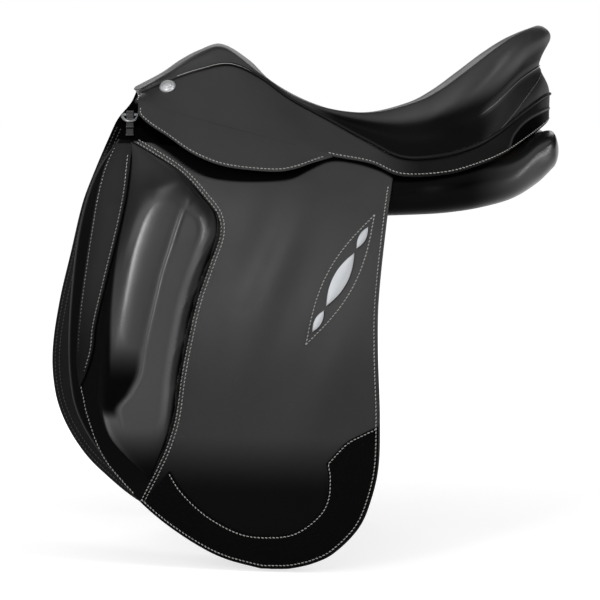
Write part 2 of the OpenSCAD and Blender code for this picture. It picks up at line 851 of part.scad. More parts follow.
module seat_foam() {
    inset = seat_leather + foam_gap;
    under = [for (w = [0.96, 0.5, 0.12])
        whole_ring([for (i = [0 : seat_steps - 1]) deck(seat_station(i), w, 0)])];
    over = [for (k = [1 : seat_levels - 1]) seat_inset(k, inset)];
    color(foam_buff) skin(concat(under, over));
}

module seat_cover() {
    inner = [for (k = [seat_levels - 1 : -1 : 0]) seat_inset(k, seat_leather)];
    color(black_leather) skin(concat(inner, seat_grid));
}

module seat_welt() {
    color(soft_leather)
        tube([for (t = skirt_stations) along(seam, t)], welt_d / 2, 6);
}

module skirt() {
    color(black_leather)
        skin([for (t = skirt_stations) skirt_ring(t)]);
}

module skirt_lobe() {
    columns = 16;
    rows = [0, 0.33, 0.66, 1];
    color(black_leather) skin([for (i = [0 : columns - 1])
        let (x = lerp(lobe_from, lobe_to, i / (columns - 1)),
             top = fold(x).z - 2 * fold_cut,
             low = curve_at(lobe_edge, x))
        leaf_ring([for (r = rows) [x, lerp(top, low, r)]], skirt_in, 0)], inside_out = true);
}

// Place of the nail on the skirt, and the gap under its head
nail_t = 2.05;
nail_u = 0.2;
nail_gap = 0.5;
module skirt_nail() {
    place = skirt_face(nail_t, nail_u);
    way = skirt_normal(nail_t, nail_u);
    ball_r = (nail_d * nail_d / 4 + nail_h * nail_h) / (2 * nail_h);
    color(silver)
        translate(place + nail_gap * way)
            rotate([0, acos(way.z), atan2(way.y, way.x)])
                rotate_extrude()
                    intersection() {
                        translate([0, nail_h - ball_r])
                            circle(ball_r, $fn = 96);
                        square([nail_d / 2, nail_h]);
                    }
}

// Depth of the seat's foam, rails and lining, which the panels lie under
seat_build = 55;
panel_room = (seat_height - seat_build) / 2;
// Panel sections: place, middle across, middle height, half width, half thickness, tilt
panel_sections = [
    [-246, 78, 72, 12, 5, -50],
    [-240, 77, 69, 28, 11, -50],
    [-215, 73.4, 52, 40, 14.5, -48],
    [-180, 77, panel_room + 14.3, 48.5, panel_room - 8.5, -45],
    [-140, 82.5, panel_room + 9.5, 52.5, panel_room - 6.5, -40],
    [-100, 85, panel_room + 6, 54, panel_room - 4.5, -35],
    [-50, 88.7, panel_room + 3.5, 56.4, panel_room - 2, -27],
    [0, 90, panel_room + 3.5, 57.5, panel_room, -20],
    [45, 90.5, panel_room + 4.5, 58, panel_room + 2, -16],
    [cantle_reach - 119, 92, panel_room + 6.5, 60, panel_room + 3, -13],
    [cantle_reach - 84, 89.5, panel_room + 9.6, 57, panel_room + 2, -11],
    [cantle_reach - 49, 83.5, panel_room + 16, 51, panel_room, -9],
    [cantle_reach - 22, 77, panel_rise - 6, 43, 21, -7],
    [cantle_reach - 4, 74, panel_rise, 36, 15, -6],
    [cantle_reach + 4, 73, panel_rise + 2, 24, 8, -6]
];
panel_points = 20;
// Fullness of a panel's section: 2 is an ellipse
panel_full = 2.5;
function full_cos(turn) = sign(cos(turn)) * pow(abs(cos(turn)), 2 / panel_full);
function full_sin(turn) = sign(sin(turn)) * pow(abs(sin(turn)), 2 / panel_full);
// The sections are drawn for this half width of the channel
channel_drawn = 32;
function panel_ring(s) = [for (i = [0 : panel_points - 1])
    let (turn = 360 * (i + 0.5) / panel_points,
         u = s[3] * full_cos(turn),
         v = s[4] * full_sin(turn))
    [s[0],
     s[1] + channel_half - channel_drawn + u * cos(s[5]) - v * sin(s[5]),
     s[2] + u * sin(s[5]) + v * cos(s[5])]];

module panel() {
    color(soft_leather) skin([for (s = panel_sections) panel_ring(s)], inside_out = true);
}

module channel_lining() {
    lining_t = 2.5;
    first = 4.5;
    last = 12.6;
    top = rail_low + deck_gap;
    half = [0.45, 0.55, 0.7, 0.85, 0.97];
    rows = 16;
    color(lining_leather) skin([for (i = [0 : rows - 1])
        let (t = lerp(first, last, i / (rows - 1)),
             over = [for (w = half) deck(t, w, top)],
             under = [for (w = half) deck(t, w, top + lining_t)])
        concat(over, [for (p = reversed(over)) flip_y(p)],
            [for (p = under) flip_y(p)], reversed(under))], inside_out = true);
}

module sweat_flap() {
    color(soft_leather)
        leaf(sweat_front_edge, sweat_rear_edge, sweat_top_edge, sweat_level, sweat_drop, sweat_in, sweat_out);
}

// Pocket that holds the end of a point of the tree
module point_pocket() {
    wall = 3;
    depth = 16;
    gap = lie_gap;
    color(lining_leather)
        along_horse(head_front - wall, head_back + wall)
            translate([0, head_mid])
                rotate(head_flare)
                    translate([head_r - head_t, -point_reach])
                        difference() {
                            translate([-gap - wall, -gap - wall])
                                square([head_t + 2 * (gap + wall), depth + wall]);
                            translate([-gap, -gap])
                                square([head_t + 2 * gap, depth + gap + 1]);
                        }
}

// Front dee: its straight bar turns in a leather chape sewn to the sweat flap
dee_x = -261;
dee_z = 101;
dee_bar_y = -9;
dee_bar_z = 5.5;
dee_r = dee_w / 2 - dee_wire / 2;

module dee_chape() {
    side_gap = 2.1;
    eye_wall = 2.2;
    tab_l = 28;
    tab_t = 2.5;
    long = dee_w - 2 * dee_wire - 2 * side_gap;
    eye = dee_wire + 2 * eye_wall;
    color(soft_leather)
        side_frame(dee_x, dee_z, sweat_out + lie_gap)
            translate([-long / 2, 0, 0])
                rotate([90, 0, 90])
                    linear_extrude(long)
                        difference() {
                            union() {
                                translate([dee_bar_y, dee_bar_z])
                                    circle(d = eye);
                                translate([dee_bar_y - eye / 2, 0])
                                    square([eye, dee_bar_z]);
                                translate([dee_bar_y - eye / 2, 0])
                                    square([tab_l, tab_t]);
                            }
                            translate([dee_bar_y, dee_bar_z])
                                circle(d = dee_wire + 2 * run_gap);
                        }
}

module front_dee() {
    color(silver)
        side_frame(dee_x, dee_z, sweat_out + lie_gap)
            translate([0, dee_bar_y, dee_bar_z]) {
                translate([-dee_r, 0, 0])
                    rotate([0, 90, 0])
                        cylinder(d = dee_wire, h = 2 * dee_r);
                rotate_extrude(angle = 180, $fn = 64)
                    translate([dee_r, 0])
                        circle(d = dee_wire);
                for (s = [-1, 1])
                    translate([s * dee_r, 0, 0])
                        sphere(d = dee_wire);
            }
}

// Girth strap: a long strap with a row of buckle holes that share one direction
// Height of the middle of the holes above the strap's end
hole_rise = 70;
module girth_strap(x, drop) {
    rows = 20;
    hole_z = -drop + hole_rise;
    square_end = strap_w / 2 - 5;
    point_end = strap_w / 2 - 6;
    color(soft_leather) difference() {
        skin([for (i = [0 : rows - 1])
            let (z = lerp(strap_top, -drop, pow(i / (rows - 1), 1.5)),
                 half = i == 0 ? square_end : i == rows - 1 ? point_end : strap_w / 2)
            leaf_ring([[x - half, z], [x, z], [x + half, z]], strap_in, strap_out)]);
        side_frame(x, hole_z, (strap_in + strap_out) / 2)
            for (s = [-1.5, -0.5, 0.5, 1.5])
                translate([0, s * hole_pitch, -3 * strap_t])
                    cylinder(d = hole_d, h = 6 * strap_t);
    }
}

module flap() {
    color(black_leather)
        leaf(flap_front_edge, flap_rear_edge, flap_top_edge, flap_level, flap_drop, flap_in, flap_out);
}

// Thigh block: front and rear edges along the horse, and crown height, for each depth
block_front_edge = [
    [-75, -270], [-14, -275], [39, -281], [92, -286], [144, -291], [187, -294],
    [213, -291], [239, -281], [262, -259], [278, -240]
];
block_rear_edge = [
    [-75, -256], [-64, -237], [-43, -205], [-14, -178], [2, -166.5], [22, -164.5], [50, -174],
    [90, -188], [132, -198], [174, -206], [216, -212], [248, -222], [278, -236]
];
block_crown = [
    [-75, block_h - 33], [-45, block_h - 17], [-14, block_h - 7], [40, block_h], [120, block_h - 1],
    [190, block_h - 7], [240, block_h - 19], [278, block_h - 34]
];
block_steps = [-75, -68, -52, -30, -8, 16, 50, 90, 130, 170, 210, 240, 262, 278];
block_columns = 11;
// The crown stands close behind the steep front wall and falls gently to the rear edge
function block_shape(c) = pow(sin(180 * pow(c, 0.72)), 0.55);
function block_ring(depth) =
    let (a = curve_at(block_front_edge, depth),
         b = curve_at(block_rear_edge, depth),
         crown = curve_at(block_crown, depth),
         last = block_columns - 1)
    concat(
        [for (j = [0 : last]) side_point(lerp(a, b, j / last), -depth, overlay_in)],
        [for (j = [last : -1 : 0])
            side_point(lerp(a, b, j / last), -depth, overlay_out + crown * block_shape(j / last))]);

module thigh_block() {
    color(black_leather) skin([for (d = block_steps) block_ring(d)]);
}

// Facing ahead of the block, between the stitched line and the block's front edge
facing_edge = [
    [-72, -277], [-29, -291], [24, -304], [77, -312], [125, -316], [157, -316],
    [189, -312], [226, -299], [252, -283]
];
module block_facing() {
    block_gap = 1;
    rows = [for (d = block_steps) if (d > -70 && d < 250) d];
    color(soft_leather) skin([for (depth = rows)
        let (a = curve_at(facing_edge, depth),
             b = curve_at(block_front_edge, depth) - block_gap)
        leaf_ring([for (u = [0, 0.5, 1]) [lerp(a, b, u), -depth]], overlay_in, overlay_out)]);
}

// Wear patch along the lower edge of the flap
patch_top = [
    [-238, -292], [-224, -272], [-209, -276], [-183, -304], [-146, -327], [-115, -332],
    [-83, -327], [-59, -311], [-47, -288], [-42, -262], [-31, -243], [flap_rear - 6, -226]
];
patch_low = [
    [-238, -flap_drop + 70], [-213, -flap_drop + 46], [-179, -flap_drop + 26], [-154, -flap_drop + 15],
    [-115, -flap_drop + 8], [-88, -flap_drop + 9], [-58, -flap_drop + 18], [-39, -flap_drop + 31],
    [-19, -flap_drop + 53], [-10, -flap_drop + 72], [flap_rear - 6, -flap_drop + 108]
];
module flap_patch() {
    columns = 18;
    front = -237;
    rear = flap_rear - 6;
    color(soft_leather) skin([for (i = [0 : columns - 1])
        let (x = lerp(front, rear, i / (columns - 1)),
             a = curve_at(patch_top, x),
             b = curve_at(patch_low, x))
        leaf_ring([for (u = [0, 0.33, 0.66, 1]) [x, lerp(a, b, u)]], overlay_in, overlay_out)],
        inside_out = true);
}

// Silver inlays: slim leaves on a slanted line
inlay_x = -36;
inlay_z = -68;
inlay_turn = 62;
module inlay_leaf(length, width, shift) {
    steps = 7;
    way = [cos(inlay_turn), sin(inlay_turn)];
    skin([for (i = [0 : steps - 1])
        let (s = lerp(-1, 1, i / (steps - 1)),
             mid = [inlay_x, inlay_z] + (shift + s * length / 2) * way,
             half = max(width / 2 * (1 - s * s), 0.4))
        leaf_ring([mid + half * [-way[1], way[0]], mid, mid - half * [-way[1], way[0]]],
            overlay_in, overlay_out)], inside_out = true);
}
module flap_inlay() {
    small_l = inlay_l / 2.5;
    leaf_gap = 6;
    apart = inlay_l / 2 + small_l / 2 + leaf_gap;
    color(silver) {
        inlay_leaf(inlay_l, inlay_w, 0);
        inlay_leaf(small_l, inlay_w / 2, apart);
        inlay_leaf(small_l, inlay_w / 2, -apart);
    }
}

tree_head();
tree_frame();
gullet_plate();
head_rivets();
left() spring_steel();  // spring_steel_left
spring_steel();  // spring_steel_right
left() stirrup_bar();  // stirrup_bar_left
stirrup_bar();  // stirrup_bar_right
bar_rivets();
left() bar_catch();  // bar_catch_left
bar_catch();  // bar_catch_right
left() catch_pin();  // catch_pin_left
catch_pin();  // catch_pin_right
girth_web(front_web_t, front_strap_x, strap_top);  // girth_web_front
girth_web(rear_web_t, rear_strap_x, strap_top);  // girth_web_rear
seat_foam();
seat_cover();
left() seat_welt();  // seat_welt_left
seat_welt();  // seat_welt_right
left() skirt();  // skirt_left
skirt();  // skirt_right
left() skirt_lobe();  // skirt_lobe_left
skirt_lobe();  // skirt_lobe_right
left() skirt_nail();  // skirt_nail_left
skirt_nail();  // skirt_nail_right
left() panel();  // panel_left
panel();  // panel_right
channel_lining();
left() sweat_flap();  // sweat_flap_left
sweat_flap();  // sweat_flap_right
left() point_pocket();  // point_pocket_left
point_pocket();  // point_pocket_right
left() dee_chape();  // dee_chape_left
dee_chape();  // dee_chape_right
left() front_dee();  // front_dee_left
front_dee();  // front_dee_right
left() girth_strap(front_strap_x, strap_drop);  // front_strap_left
girth_strap(front_strap_x, strap_drop);  // front_strap_right
left() girth_strap(rear_strap_x, strap_drop);  // rear_strap_left
girth_strap(rear_strap_x, strap_drop);  // rear_strap_right
left() flap();  // flap_left
flap();  // flap_right
left() thigh_block();  // thigh_block_left
thigh_block();  // thigh_block_right
left() block_facing();  // block_facing_left
block_facing();  // block_facing_right
left() flap_patch();  // flap_patch_left
flap_patch();  // flap_patch_right
left() flap_inlay();  // flap_inlay_left
flap_inlay();  // flap_inlay_right
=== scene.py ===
"""Dressage saddle: the looks of a packed saddle model, built as numpy surfaces in the model's own frame.

Sizes are in millimetres, +X runs back to the cantle, -Y is the horse's left and +Z is up.
"""
import logging
import math
from collections.abc import Sequence
from dataclasses import dataclass, field
from enum import Enum

import bmesh
import bpy
import numpy as np
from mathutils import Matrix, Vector


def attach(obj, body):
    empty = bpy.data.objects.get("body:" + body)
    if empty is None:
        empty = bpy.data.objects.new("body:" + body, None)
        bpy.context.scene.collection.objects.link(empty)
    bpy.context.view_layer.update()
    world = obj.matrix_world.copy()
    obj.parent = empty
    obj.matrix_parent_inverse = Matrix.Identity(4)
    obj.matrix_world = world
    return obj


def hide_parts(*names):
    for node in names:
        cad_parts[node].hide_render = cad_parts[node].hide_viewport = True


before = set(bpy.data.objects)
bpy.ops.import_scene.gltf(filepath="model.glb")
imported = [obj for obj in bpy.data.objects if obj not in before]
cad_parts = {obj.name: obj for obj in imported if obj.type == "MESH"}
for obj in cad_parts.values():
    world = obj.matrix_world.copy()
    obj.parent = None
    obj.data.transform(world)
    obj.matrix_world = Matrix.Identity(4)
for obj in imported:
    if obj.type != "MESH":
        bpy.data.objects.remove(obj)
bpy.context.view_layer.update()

MM = 0.001
MERGE_M = 2e-6  # points of a shell nearer than this, in metres, become one
SLIVER_M = 1e-7  # shorter edges are dissolved
SHARP_DEG = 58.0  # edges that turn by more stay sharp
FLIP = np.array([1.0, -1.0, 1.0])  # takes a point to the other side
Array = np.ndarray
Pairs = Sequence[tuple[float, float]]
Socket = bpy.types.NodeSocket
log = logging.getLogger("saddle")


class Side(Enum):
    """The two sides of the saddle, with the sign of Y on each."""

    LEFT = -1
    RIGHT = 1

    @property
    def word(self) -> str:
        """The side's name in piece, node and body names."""
        return self.name.lower()


# Curves and surfaces

def linear(colour: str) -> tuple[float, float, float, float]:
    """Turns an sRGB hex colour to linear light: ((c + 0.055) / 1.055) ^ 2.4, or c / 12.92 where c is small.

    Args:
        colour: six hex digits after a hash sign.

    Returns:
        Red, green, blue and alpha, each from 0 to 1.
    """
    parts = np.array([int(colour[i:i + 2], 16) for i in (1, 3, 5)]) / 255
    light = np.where(parts <= 0.04045, parts / 12.92, ((parts + 0.055) / 1.055) ** 2.4)
    return (*light.tolist(), 1.0)


def lerp(a: Array, b: Array, u: Array) -> Array:
    """Straight blend from a to b: a plus u times their difference."""
    return a + (b - a) * u


def smooth(u: Array) -> Array:
    """Smooth step from 0 to 1: 3 u squared less 2 u cubed, with u held in 0 to 1."""
    v = np.clip(u, 0, 1)
    return v * v * (3 - 2 * v)


def ease(count: int, last: float = 1.0) -> Array:
    """Places from 0 to last that crowd at both ends: half of 1 less the cosine of an even turn."""
    return last * (0.5 - 0.5 * np.cos(np.linspace(0, math.pi, count)))


def bump(u: Array, middle: float, width: float) -> Array:
    """Bell curve: e to the power of minus the squared distance from the middle, in widths."""
    return np.exp(-((u - middle) / width) ** 2)


def quarter_round(u: Array) -> Array:
    """Quarter circle from 0 to 1: the root of 1 less (1 - u) squared, with u held in 0 to 1."""
    return np.sqrt(1 - (1 - np.clip(u, 0, 1)) ** 2)


def around(count: int) -> Array:
    """Even angles round a full turn, from 0."""
    return np.linspace(0, 2 * math.pi, count, endpoint=False)


def spline(stations: Array, t: Array, mirror: bool = False) -> Array:
    """Catmull-Rom curve through stations: each stretch is the cubic through four neighbours.

    Args:
        stations: one row of coordinates per station.
        t: station numbers, of any shape.
        mirror: True carries the curve past its ends into its image across Y, so that it crosses squarely.

    Returns:
        One row of coordinates for each t.
    """
    s = np.asarray(stations, float)
    t = np.asarray(t, float)
    i = np.clip(np.floor(t), 0, len(s) - 2).astype(int)
    u = (t - i).reshape(t.shape + (1,) * (s.ndim - 1))
    ends = (s[1] * FLIP, s[-2] * FLIP) if mirror else (2 * s[0] - s[1], 2 * s[-1] - s[-2])
    row = np.concatenate([ends[:1], s, ends[1:]])
    a, b, c, d = row[i], row[i + 1], row[i + 2], row[i + 3]
    return b + 0.5 * u * (c - a + u * (2 * a - 5 * b + 4 * c - d + u * (3 * (b - c) + d - a)))


def curve(pairs: Pairs, x: Array) -> Array:
    """Smooth curve through pairs of place and value: a cubic between neighbours, with slopes from the next ones.

    Args:
        pairs: places, rising, each with its value.
        x: places, of any shape; past the ends the end values hold.

    Returns:
        The value at each place.
    """
    p = np.asarray(pairs, float)
    at, val = p[:, 0], p[:, 1]
    last = len(p) - 1
    i = np.clip(np.searchsorted(at, x, side="left") - 1, 0, last - 1)
    a, c, d = np.maximum(i - 1, 0), i + 1, np.minimum(i + 2, last)
    span = at[c] - at[i]
    u = np.clip((x - at[i]) / span, 0, 1)
    rise_b = (val[c] - val[a]) / (at[c] - at[a]) * span
    rise_c = (val[d] - val[i]) / (at[d] - at[i]) * span
    return (val[i] * (1 + 2 * u) * (1 - u) ** 2 + rise_b * u * (1 - u) ** 2
            + val[c] * u * u * (3 - 2 * u) + rise_c * u * u * (u - 1))


def unit(v: Array) -> Array:
    """Vectors divided by their lengths."""
    return v / np.maximum(np.linalg.norm(v, axis=-1, keepdims=True), 1e-9)


def even_path(path: Array, step: float, count: int | None = None) -> Array:
    """Points at even steps along a line of points, by the length run along it.

    Args:
        path: points in order.
        step: the wanted distance between points.
        count: number of points, in place of a distance.

    Returns:
        The new points, from the first to the last.
    """
    run = np.concatenate([[0], np.cumsum(np.linalg.norm(np.diff(path, axis=0), axis=1))])
    places = np.linspace(0, run[-1], count or max(int(round(run[-1] / step)), 2) + 1)
    return np.stack([np.interp(places, run, path[:, k]) for k in range(path.shape[1])], axis=1)


def edge_line(pairs: Pairs, depth: Array, shift: float = 0.0) -> Array:
    """Rows of x and z along an edge given as pairs of depth and place along the horse, moved along by a shift."""
    return np.stack([curve(pairs, depth) + shift, -depth], axis=1)


def inset(path: Array, distance: float) -> Array:
    """A flat line moved sideways: each point goes along the left-hand normal of the line there."""
    way = unit(np.gradient(path, axis=0))
    return path + distance * np.stack([-way[:, 1], way[:, 0]], axis=1)


# Meshes

@dataclass
class Shell:
    """Points and four-cornered faces of a surface, with a tone of painted shade from 0, plain, to 1, darkest, at each
    point.
    """

    points: Array
    faces: Array
    tone: Array

    @staticmethod
    def grid(net: Array, wrap: bool = False, tone: Array | None = None) -> "Shell":
        """A surface through a net of rows and columns of points.

        Args:
            net: rows by columns by 3 coordinates.
            wrap: True joins the last column to the first.
            tone: rows by columns of painted shade, or None for plain.

        Returns:
            The surface.
        """
        rows, columns = net.shape[:2]
        number = np.arange(rows * columns).reshape(rows, columns)
        if wrap:
            number = np.concatenate([number, number[:, :1]], axis=1)
        faces = np.stack([number[:-1, :-1], number[1:, :-1], number[1:, 1:], number[:-1, 1:]], axis=-1)
        shade = np.zeros(rows * columns) if tone is None else np.broadcast_to(tone, (rows, columns)).reshape(-1)
        return Shell(net.reshape(-1, 3), faces.reshape(-1, 4), shade)

    @staticmethod
    def between(over: Array, under: Array, tone: Array | None = None) -> "Shell":
        """A closed surface from an upper net and a lower net, with walls round their borders.

        Args:
            over: the upper net, rows by columns by 3.
            under: the lower net, of the same shape.
            tone: painted shade of the upper net.

        Returns:
            The closed surface.
        """
        ring = [np.concatenate([n[0], n[1:, -1], n[-1, -2::-1], n[-2:0:-1, 0]]) for n in (over, under)]
        return (Shell.grid(over, tone=tone) + Shell.grid(under[:, ::-1])
                + Shell.grid(np.stack(ring), wrap=True))

    @staticmethod
    def join(parts: Sequence["Shell"]) -> "Shell":
        """All the surfaces as one, in order: each part's faces count on from the points before it."""
        starts = np.cumsum([0, *(len(part.points) for part in parts[:-1])])
        return Shell(np.concatenate([part.points for part in parts]),
                     np.concatenate([part.faces + start for part, start in zip(parts, starts)]),
                     np.concatenate([part.tone for part in parts]))

    def __add__(self, other: "Shell") -> "Shell":
        """Both surfaces as one."""
        return Shell.join([self, other])

    def on(self, side: Side) -> "Shell":
        """The same surface on that side: Y changes its sign on the left, and the faces turn round."""
        if side is Side.RIGHT:
            return self
        return Shell(self.points * FLIP, self.faces[:, ::-1], self.tone)


def slab(net: Array, normal: Array, thick: float, edge: Array, relief: Array | float = 0.0,
         tone: Array | None = None) -> Shell:
    """A sheet with rounded edges: its two faces lie half the thickness either side of a middle net.

    Towards the edge the half thickness falls as a quarter round of the distance over the half thickness.

    Args:
        net: the middle layer, rows by columns by 3.
        normal: the unit normal at each point.
        thick: the sheet's thickness.
        edge: distance from the outline at each point.
        relief: height added to the outer face.
        tone: painted shade of the outer face.

    Returns:
        The closed sheet.
    """
    part = quarter_round(edge / (thick / 2))[..., None]
    lift = np.broadcast_to(np.asarray(relief, float), net.shape[:2])[..., None]
    half = thick / 2 * part
    return Shell.between(net + (half + lift * part) * normal, net - half * normal, tone)


def outline_distance(net: Array, sides: str = "tbfr") -> Array:
    """Distance of each point of a net from the nearest point of its border.

    Args:
        net: rows by columns by coordinates.
        sides: which borders count: t first row, b last row, f first column, r last column.

    Returns:
        The distances, rows by columns.
    """
    parts = {"t": net[0], "b": net[-1], "f": net[:, 0], "r": net[:, -1]}
    border = np.concatenate([parts[k] for k in sides])
    flat = net.reshape(-1, net.shape[-1])
    best = np.full(len(flat), np.inf)
    for chunk in np.array_split(border, max(len(border) // 64, 1)):
        best = np.minimum(best, np.linalg.norm(flat[:, None] - chunk[None], axis=2).min(axis=1))
    return best.reshape(net.shape[:2])


def net_normal(net: Array) -> Array:
    """Unit normals of a net: the cross product of the steps down its columns and along its rows."""
    return unit(np.cross(np.gradient(net, axis=0), np.gradient(net, axis=1)))


def plain_sheet(net: Array, thick: float) -> Shell:
    """A sheet of even thickness, rounded all round its border, whose middle layer is the net."""
    return slab(net, net_normal(net), thick, outline_distance(net))


def tube(path: Array, radius: Array | float, sides: int = 12, tone: Array | float = 0.0) -> Shell:
    """A round cord: a circle carried along a path, in the plane across it, drawn in to a point at both ends.

    Args:
        path: points along the middle.
        radius: the radius, or one for each point.
        sides: corners of the circle.
        tone: the painted shade, or one for each point.

    Returns:
        The closed tube.
    """
    way = unit(np.gradient(path, axis=0))
    across = unit(np.cross([0.0, 0.0, 1.0], way))
    over = np.cross(way, across)
    turn = around(sides)
    r = np.broadcast_to(np.asarray(radius, float), len(path)).copy()[:, None, None]
    ring = np.cos(turn)[:, None] * across[:, None] + np.sin(turn)[:, None] * over[:, None]
    net = path[:, None] + r * ring
    ends = [np.repeat(path[k][None, None], sides, axis=1) for k in (0, -1)]
    shade = np.pad(np.broadcast_to(np.asarray(tone, float), len(path)), 1, mode="edge")[:, None]
    return Shell.grid(np.concatenate([ends[0], net, ends[1]]), wrap=True, tone=shade)


def add_object(name: str, data: bpy.types.ID) -> bpy.types.Object:
    """Puts a mesh, light or camera into the scene as an object.

    Args:
        name: the object's name.
        data: what it shows.

    Returns:
        The new object.
    """
    thing = bpy.data.objects.new(name, data)
    bpy.context.scene.collection.objects.link(thing)
    return thing


def add_piece(name: str, shell: Shell, material: bpy.types.Material, body: str,
              stands_for: tuple[str, ...] = ()) -> bpy.types.Object:
    """Puts a closed shell into the scene as a smooth piece that rides on a body.

    Args:
        name: the piece's name.
        shell: its surface, in millimetres.
        material: its material.
        body: the body that it moves with.
        stands_for: model nodes that it replaces.

    Returns:
        The new object.
    """
    mesh = bpy.data.meshes.new(name)
    mesh.from_pydata((shell.points * MM).tolist(), [], shell.faces.tolist())
    # The tone attribute carries each piece's painted shade to its leather.
    mesh.attributes.new("tone", "FLOAT", "POINT").data.foreach_set("value", shell.tone.astype(np.float32))
    work = bmesh.new()
    work.from_mesh(mesh)
    bmesh.ops.remove_doubles(work, verts=work.verts, dist=MERGE_M)
    bmesh.ops.dissolve_degenerate(work, dist=SLIVER_M, edges=work.edges)
    bmesh.ops.recalc_face_normals(work, faces=work.faces)
    work.to_mesh(mesh)
    work.free()
    mesh.shade_smooth()
    mesh.set_sharp_from_angle(angle=math.radians(SHARP_DEG))
    mesh.materials.append(material)
    piece = add_object(name, mesh)
    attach(piece, body)
    if stands_for:
        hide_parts(*stands_for)
    log.info("%s: %d faces on %s", name, len(mesh.polygons), body)
    return piece


def add_sided(side: Side, name: str, shell: Shell, material: bpy.types.Material, body: str,
              node: str = "") -> bpy.types.Object:
    """Puts a shell that was worked out on the right into the scene on one side.

    Args:
        side: the side.
        name: the piece's name; here and below a star stands for the side's word.
        shell: its surface on the right, in millimetres.
        material: its material.
        body: the body that it moves with.
        node: the model node that it replaces, if any.

    Returns:
        The new object.
    """
    nodes = (node.replace("*", side.word),) if node else ()
    return add_piece(name.replace("*", side.word), shell.on(side), material, body.replace("*", side.word), nodes)


# Materials

def add_node(tree: bpy.types.NodeTree, kind: str, settings: dict[str | int, object] | None = None,
             links: dict[str | int, Socket] | None = None) -> bpy.types.Node:
    """Adds one node to a material.

    Args:
        tree: the material's nodes.
        kind: the node's type name, without the ShaderNode that all begin with.
        settings: properties of the node, or values of its inputs.
        links: sockets that its inputs read.

    Returns:
        The new node.
    """
    node = tree.nodes.new(f"ShaderNode{kind}")
    for key, value in (settings or {}).items():
        if isinstance(key, str) and hasattr(node, key):
            setattr(node, key, value)
        else:
            node.inputs[key].default_value = value
    for key, socket in (links or {}).items():
        tree.links.new(socket, node.inputs[key])
    return node


def new_material(name: str) -> tuple[bpy.types.Material, bpy.types.NodeTree]:
    """Adds an empty material.

    Args:
        name: the material's name.

    Returns:
        The material and its node tree.
    """
    material = bpy.data.materials.new(name)
    material.use_nodes = True
    material.node_tree.nodes.clear()
    return material, material.node_tree


@dataclass(frozen=True)
class Leather:
    """Dyed cowhide: pores and pebbles of the grain, cloudy dye, and painted shade where the tone says so, darker and
    less glossy.
    """

    name: str
    colour: str
    cloud: str
    # The colour that the painted shade darkens to.
    deep: str
    roughness: float
    specular: float
    grain_mm: float
    grain_depth_mm: float
    grain_strength: float
    coat: float = 0.0
    coat_roughness: float = 0.2
    cloud_mm: float = 45.0
    # Roughness that the painted shade adds.
    dulling: float = 0.0

    def material(self) -> bpy.types.Material:
        """Builds the material: cell noise for pebbles, fine noise for pores and broad noise for the dye."""
        material, tree = new_material(self.name)
        place = add_node(tree, "TexCoord").outputs["Object"]
        pebble = add_node(tree, "TexVoronoi",
                          {"feature": "SMOOTH_F1", "Scale": 1000 / self.grain_mm, "Smoothness": 0.6},
                          {"Vector": place})
        pore = add_node(tree, "TexNoise", {"Scale": 2600 / self.grain_mm, "Detail": 3.0}, {"Vector": place})
        cloud = add_node(tree, "TexNoise", {"Scale": 1000 / self.cloud_mm, "Detail": 4.0, "Roughness": 0.6},
                         {"Vector": place})
        height = add_node(tree, "Math", {"operation": "MULTIPLY_ADD", 1: 0.5},
                          {0: pore.outputs["Fac"], 2: pebble.outputs["Distance"]})
        normal = add_node(tree, "Bump",
                          {"Strength": self.grain_strength, "Distance": self.grain_depth_mm * MM},
                          {"Height": height.outputs[0]})
        dye = add_node(tree, "MapRange", {"From Min": 0.3, "From Max": 0.7}, {"Value": cloud.outputs["Fac"]})
        base = add_node(tree, "Mix", {"data_type": "RGBA", 6: linear(self.colour), 7: linear(self.cloud)},
                        {0: dye.outputs[0]})
        # Painted shade: the tone mixes in the shade colour, adds roughness and takes away the specular and the coat.
        tone = add_node(tree, "Attribute", {"attribute_name": "tone"})
        shade = add_node(tree, "Mix", {"data_type": "RGBA", 7: linear(self.deep)},
                         {0: tone.outputs["Fac"], 6: base.outputs[2]})
        rough = add_node(tree, "MapRange",
                         {"From Min": 0.25, "From Max": 0.75,
                          "To Min": self.roughness - 0.05, "To Max": self.roughness + 0.07},
                         {"Value": cloud.outputs["Fac"]})
        shade_dulled = add_node(tree, "Math", {"operation": "MULTIPLY_ADD", 1: self.dulling},
                        {0: tone.outputs["Fac"], 2: rough.outputs[0]})
        shade_specular = add_node(tree, "MapRange", {"To Min": self.specular, "To Max": 0.0},
                         {"Value": tone.outputs["Fac"]})
        coat = add_node(tree, "MapRange", {"From Max": 0.5, "To Min": self.coat, "To Max": 0.0},
                        {"Value": tone.outputs["Fac"]})
        shader = add_node(tree, "BsdfPrincipled",
                          {"Coat Roughness": self.coat_roughness, "IOR": 1.5, "Specular IOR Level": self.specular,
                           "Coat Weight": self.coat},
                          {"Base Color": shade.outputs[2], "Roughness": shade_dulled.outputs[0],
                           "Specular IOR Level": shade_specular.outputs[0], "Coat Weight": coat.outputs[0],
                           "Normal": normal.outputs["Normal"]})
        add_node(tree, "OutputMaterial", links={"Surface": shader.outputs["BSDF"]})
        return material


